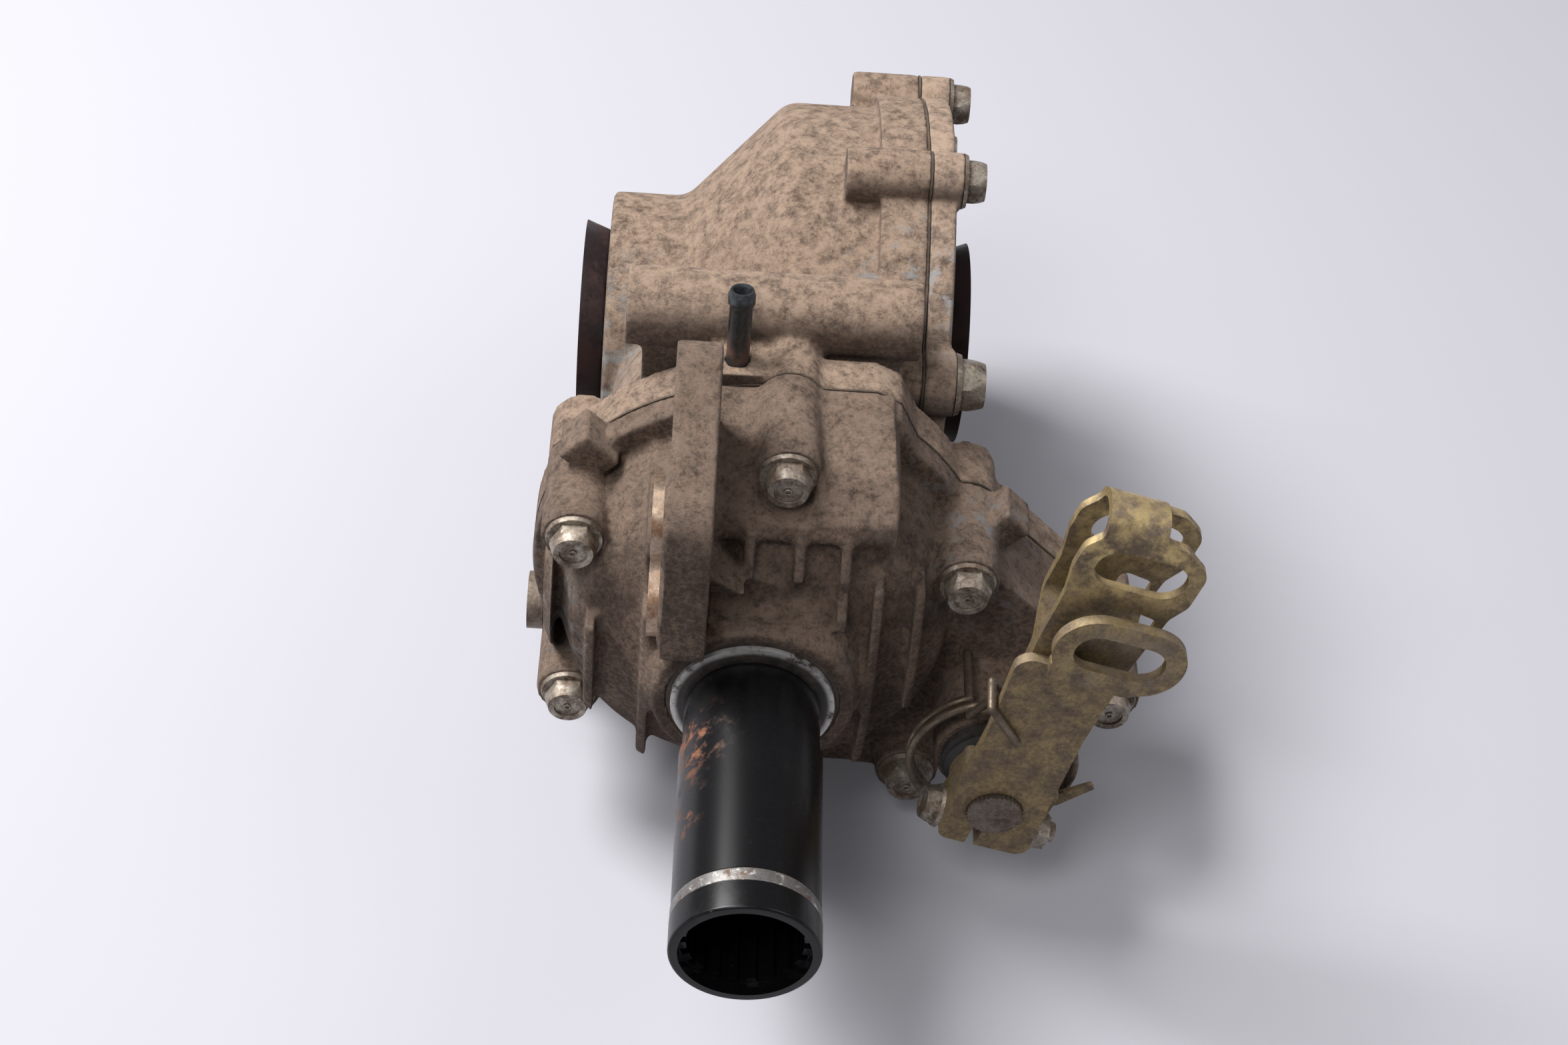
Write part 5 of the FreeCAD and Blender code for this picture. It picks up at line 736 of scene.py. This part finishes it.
@dataclass
class BoltHeads:
    """Raised rims and centre dots on the heads of the cover bolts."""

    shop: Workshop
    rim: float = 4.3 * MM
    wire: float = 0.42 * MM
    dimple: float = 0.9 * MM
    dimple_wire: float = 0.26 * MM

    def build(self) -> None:
        """Make the rims and dimples for both sets of cover bolts."""
        for node, way in (("front_cover_bolts", Vector((0, -1, 0))), ("side_cover_bolts", Vector((1, 0, 0)))):
            self.rings(node, "rims", way, self.rim, self.wire)
            self.rings(node, "dimples", way, self.dimple, self.dimple_wire)

    def heads(self, node: str, way: Vector) -> list[Vector]:
        """Centre of each bolt head's outer face.

        Args:
            node: node with one solid for each bolt.
            way: direction that the heads look in.

        Returns:
            One point for each bolt, sorted, so that each run has the same order.
        """
        shape = bmesh.new()
        shape.from_mesh(self.shop.frame["nodes"][node].data)
        bmesh.ops.remove_doubles(shape, verts=shape.verts, dist=0.00001)
        left = set(shape.verts)
        centres = []
        while left:
            island = []
            queue = [left.pop()]
            while queue:
                vert = queue.pop()
                island.append(vert.co.copy())
                for edge in vert.link_edges:
                    other = edge.other_vert(vert)
                    if other in left:
                        left.remove(other)
                        queue.append(other)
            low = Vector([min(point[i] for point in island) for i in range(3)])
            high = Vector([max(point[i] for point in island) for i in range(3)])
            centre = (low + high) / 2
            outer = max(point.dot(way) for point in island)
            centres.append(centre + way * (outer - centre.dot(way)))
        shape.free()
        return sorted(centres, key=tuple)

    def rings(self, node: str, kind: str, way: Vector, radius: float, wire: float) -> None:
        """Lay a ring on each head of one set of bolts.

        Args:
            node: node with one solid for each bolt.
            kind: what the rings are called.
            way: direction that the heads look in.
            radius: radius of the ring.
            wire: radius of its section.
        """
        start = bpy.data.meshes.new(f"{node}_{kind}")
        start.from_pydata([spot - way * wire * 0.9 for spot in self.heads(node, way)], [], [])
        turn = way.to_track_quat("Z", "Y").to_euler()
        tree, given = Rows.tree(f"{node}_{kind}_rows", {
            "Ring Radius": ("NodeSocketFloat", radius), "Wire Radius": ("NodeSocketFloat", wire),
        })
        circle = tree.nodes.new("GeometryNodeCurvePrimitiveCircle")
        circle.inputs["Resolution"].default_value = 28
        profile = tree.nodes.new("GeometryNodeCurvePrimitiveCircle")
        profile.inputs["Resolution"].default_value = 8
        sweep = tree.nodes.new("GeometryNodeCurveToMesh")
        spread = tree.nodes.new("GeometryNodeInstanceOnPoints")
        aim = tree.nodes.new("FunctionNodeEulerToRotation")
        aim.inputs[0].default_value = tuple(turn)
        tree.links.new(given.outputs["Geometry"], spread.inputs["Points"])
        tree.links.new(given.outputs["Ring Radius"], circle.inputs["Radius"])
        tree.links.new(given.outputs["Wire Radius"], profile.inputs["Radius"])
        tree.links.new(circle.outputs[0], sweep.inputs["Curve"])
        tree.links.new(profile.outputs[0], sweep.inputs["Profile Curve"])
        tree.links.new(sweep.outputs[0], spread.inputs["Instance"])
        tree.links.new(aim.outputs[0], spread.inputs["Rotation"])
        Rows.finish(tree, spread.outputs[0], self.shop.material("zinc_bolts"))
        piece = Rows.grown(f"{node}_{kind}", tree, start)
        self.shop.keep(piece, "housing", "zinc_bolts")


@dataclass
class ShaftEnd:
    """The ring of serrations where the brake camshaft comes through the lever arm."""

    shop: Workshop
    teeth: int = 40
    tooth: Colour = (0.75 * MM, 0.5 * MM, 0.55 * MM)
    proud: float = 0.3 * MM
    radius: float = 7.35 * MM

    def build(self) -> None:
        """Make the serrations."""
        arm_low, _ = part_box("lever_arm")
        middle = Vector((CAM_X, arm_low.y - self.proud / 2, CAM_Z))
        tree, given = Rows.tree("serration_rows", {
            "Teeth": ("NodeSocketInt", self.teeth), "Ring Radius": ("NodeSocketFloat", self.radius),
            "Size": ("NodeSocketVector", self.tooth), "Centre": ("NodeSocketVector", tuple(middle)),
        })
        ring = tree.nodes.new("GeometryNodeCurvePrimitiveCircle")
        points = tree.nodes.new("GeometryNodeCurveToPoints")
        block = tree.nodes.new("GeometryNodeMeshCube")
        spread = tree.nodes.new("GeometryNodeInstanceOnPoints")
        place = tree.nodes.new("GeometryNodeTransform")
        place.inputs["Rotation"].default_value = (math.pi / 2, 0, 0)
        tree.links.new(given.outputs["Ring Radius"], ring.inputs["Radius"])
        tree.links.new(ring.outputs[0], points.inputs["Curve"])
        tree.links.new(given.outputs["Teeth"], points.inputs["Count"])
        tree.links.new(given.outputs["Size"], block.inputs["Size"])
        tree.links.new(points.outputs["Points"], spread.inputs["Points"])
        tree.links.new(points.outputs["Rotation"], spread.inputs["Rotation"])
        tree.links.new(block.outputs["Mesh"], spread.inputs["Instance"])
        tree.links.new(spread.outputs[0], place.inputs["Geometry"])
        tree.links.new(given.outputs["Centre"], place.inputs["Translation"])
        Rows.finish(tree, place.outputs[0], self.shop.material("cam_steel"))
        piece = Rows.grown("camshaft_serrations", tree, bpy.data.meshes.new("camshaft_serrations"))
        self.shop.keep(piece, "brake_lever", "cam_steel")


@dataclass
class ReturnSpring:
    """The torsion spring, whose tail stays on the cover while its hook goes with the lever."""

    shop: Workshop
    node: str = "return_spring"
    sharp: float = 50.0
    back: Vector = field(default_factory=lambda: Vector((CAM_X, -0.0715, CAM_Z)))
    front: Vector = field(default_factory=lambda: Vector((CAM_X, -0.0785, CAM_Z)))

    def build(self) -> None:
        """Make the spring's copy bend between the cover and the lever."""
        piece = self.shop.skin(self.node, self.sharp)
        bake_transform(piece, "housing", "brake_lever", self.back, self.front)


@dataclass
class Trim:
    """Every other node, smooth-shaded and dressed."""

    shop: Workshop
    sharp: float = 32.0
    plain: tuple[str, ...] = ("ring_gear", "friction_discs")

    def build(self) -> None:
        """Dress all the nodes; those that aren't castings get smooth copies."""
        for node in self.shop.frame["nodes"]:
            self.shop.dress_node(node)
            if node not in (*Castings.nodes, *self.plain, ReturnSpring.node):
                self.shop.smooth(node, self.sharp)


@dataclass
class Studio:
    """The floor, the lights and the camera."""

    eye: Vector = field(default_factory=lambda: Vector((-0.02593, -0.62068, 0.53549)))
    right: Vector = field(default_factory=lambda: Vector((0.99743, 0.01447, 0.07011)))
    upward: Vector = field(default_factory=lambda: Vector((-0.05979, 0.70703, 0.70465)))
    lens: float = 65.8
    floor_colour: Colour = (0.39, 0.385, 0.415)
    floor_half: float = 6.0
    glow_span: Span = (0.8, 2.6)
    glow_level: Span = (0.03, 0.72)
    glow_colour: Colour = (0.93, 0.93, 1.0)
    sky_colour: Colour = (0.85, 0.845, 0.915)
    sky_level: Span = (0.28, 1.0)
    aim: Colour = (0.0, 0.0, -0.07)

    def build(self, lowest: float) -> None:
        """Set the stage.

        Args:
            lowest: height of the object's lowest point, where the floor lies.
        """
        self.floor(lowest)
        self.world()
        self.lamp("key", (-0.78, 0.32, 1.10), 0.6, 39.0)
        self.lamp("fill", (0.95, -0.10, 0.95), 0.7, 3.5)
        self.lamp("front", (-0.45, -0.80, 1.20), 0.5, 9.5)
        self.camera()

    def floor(self, lowest: float) -> None:
        """A plain pale floor that keeps the object's shadow and pales towards its far edge."""
        shape = bmesh.new()
        bmesh.ops.create_grid(shape, x_segments=1, y_segments=1, size=self.floor_half)
        bmesh.ops.translate(shape, verts=shape.verts, vec=(0, 0, lowest))
        mesh = bpy.data.meshes.new("floor")
        shape.to_mesh(mesh)
        shape.free()
        floor = new_mesh_object("floor", mesh)
        graph = Graph("floor")
        graph.shader.inputs["Base Color"].default_value = (*self.floor_colour, 1.0)
        graph.shader.inputs["Roughness"].default_value = 0.9
        graph.shader.inputs["Specular IOR Level"].default_value = 0.1
        path = graph.node("ShaderNodeLightPath")
        seen = graph.node("ShaderNodeMath", operation="MAXIMUM")
        graph.join(path.outputs["Is Camera Ray"], seen.inputs[0])
        graph.join(path.outputs["Is Glossy Ray"], seen.inputs[1])
        away = graph.node("ShaderNodeVectorMath", operation="LENGTH")
        graph.join(graph.coords, away.inputs[0])
        glow = graph.remap(away.outputs["Value"], *self.glow_span, *self.glow_level)
        graph.shader.inputs["Emission Color"].default_value = (*self.glow_colour, 1.0)
        graph.join(graph.times(seen.outputs[0], glow), graph.shader.inputs["Emission Strength"])
        mesh.materials.append(graph.material)
        floor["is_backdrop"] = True

    def world(self) -> None:
        """Even light from all round, white where the camera sees it."""
        world = bpy.data.worlds.new("studio")
        bpy.context.scene.world = world
        world.use_nodes = True
        tree = world.node_tree
        back = tree.nodes["Background"]
        back.inputs["Color"].default_value = (*self.sky_colour, 1.0)
        path = tree.nodes.new("ShaderNodeLightPath")
        level = tree.nodes.new("ShaderNodeMapRange")
        level.inputs["To Min"].default_value, level.inputs["To Max"].default_value = self.sky_level
        tree.links.new(path.outputs["Is Camera Ray"], level.inputs["Value"])
        tree.links.new(level.outputs["Result"], back.inputs["Strength"])

    def lamp(self, name: str, place: Colour, size: float, power: float) -> None:
        """A square soft light aimed at the object."""
        light = bpy.data.lights.new(name, "AREA")
        light.size = size
        light.energy = power
        holder = bpy.data.objects.new(name, light)
        bpy.context.scene.collection.objects.link(holder)
        holder.location = place
        way = Vector(self.aim) - Vector(place)
        holder.rotation_euler = way.to_track_quat("-Z", "Y").to_euler()

    def camera(self) -> None:
        """The camera at the photograph's place and angle."""
        lens = bpy.data.cameras.new("camera")
        lens.lens = self.lens
        lens.sensor_width = 36.0
        lens.clip_end = 20.0
        holder = bpy.data.objects.new("camera", lens)
        bpy.context.scene.collection.objects.link(holder)
        back = self.right.cross(self.upward)
        turn = Matrix((self.right, self.upward, back)).transposed()
        holder.matrix_world = Matrix.Translation(self.eye) @ turn.to_4x4()
        bpy.context.scene.camera = holder


def main() -> None:
    """Build the scene in order."""
    logging.basicConfig(level=logging.INFO)
    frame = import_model()
    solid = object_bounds()
    bpy.context.scene.view_settings.view_transform = "Standard"
    shop = Workshop(frame)
    Trim(shop).build()
    Castings(shop).build()
    ReturnSpring(shop).build()
    BallBearings(shop).build()
    BoltHeads(shop).build()
    ShaftEnd(shop).build()
    Studio().build(solid[0][2])


if __name__ == "__main__":
    main()
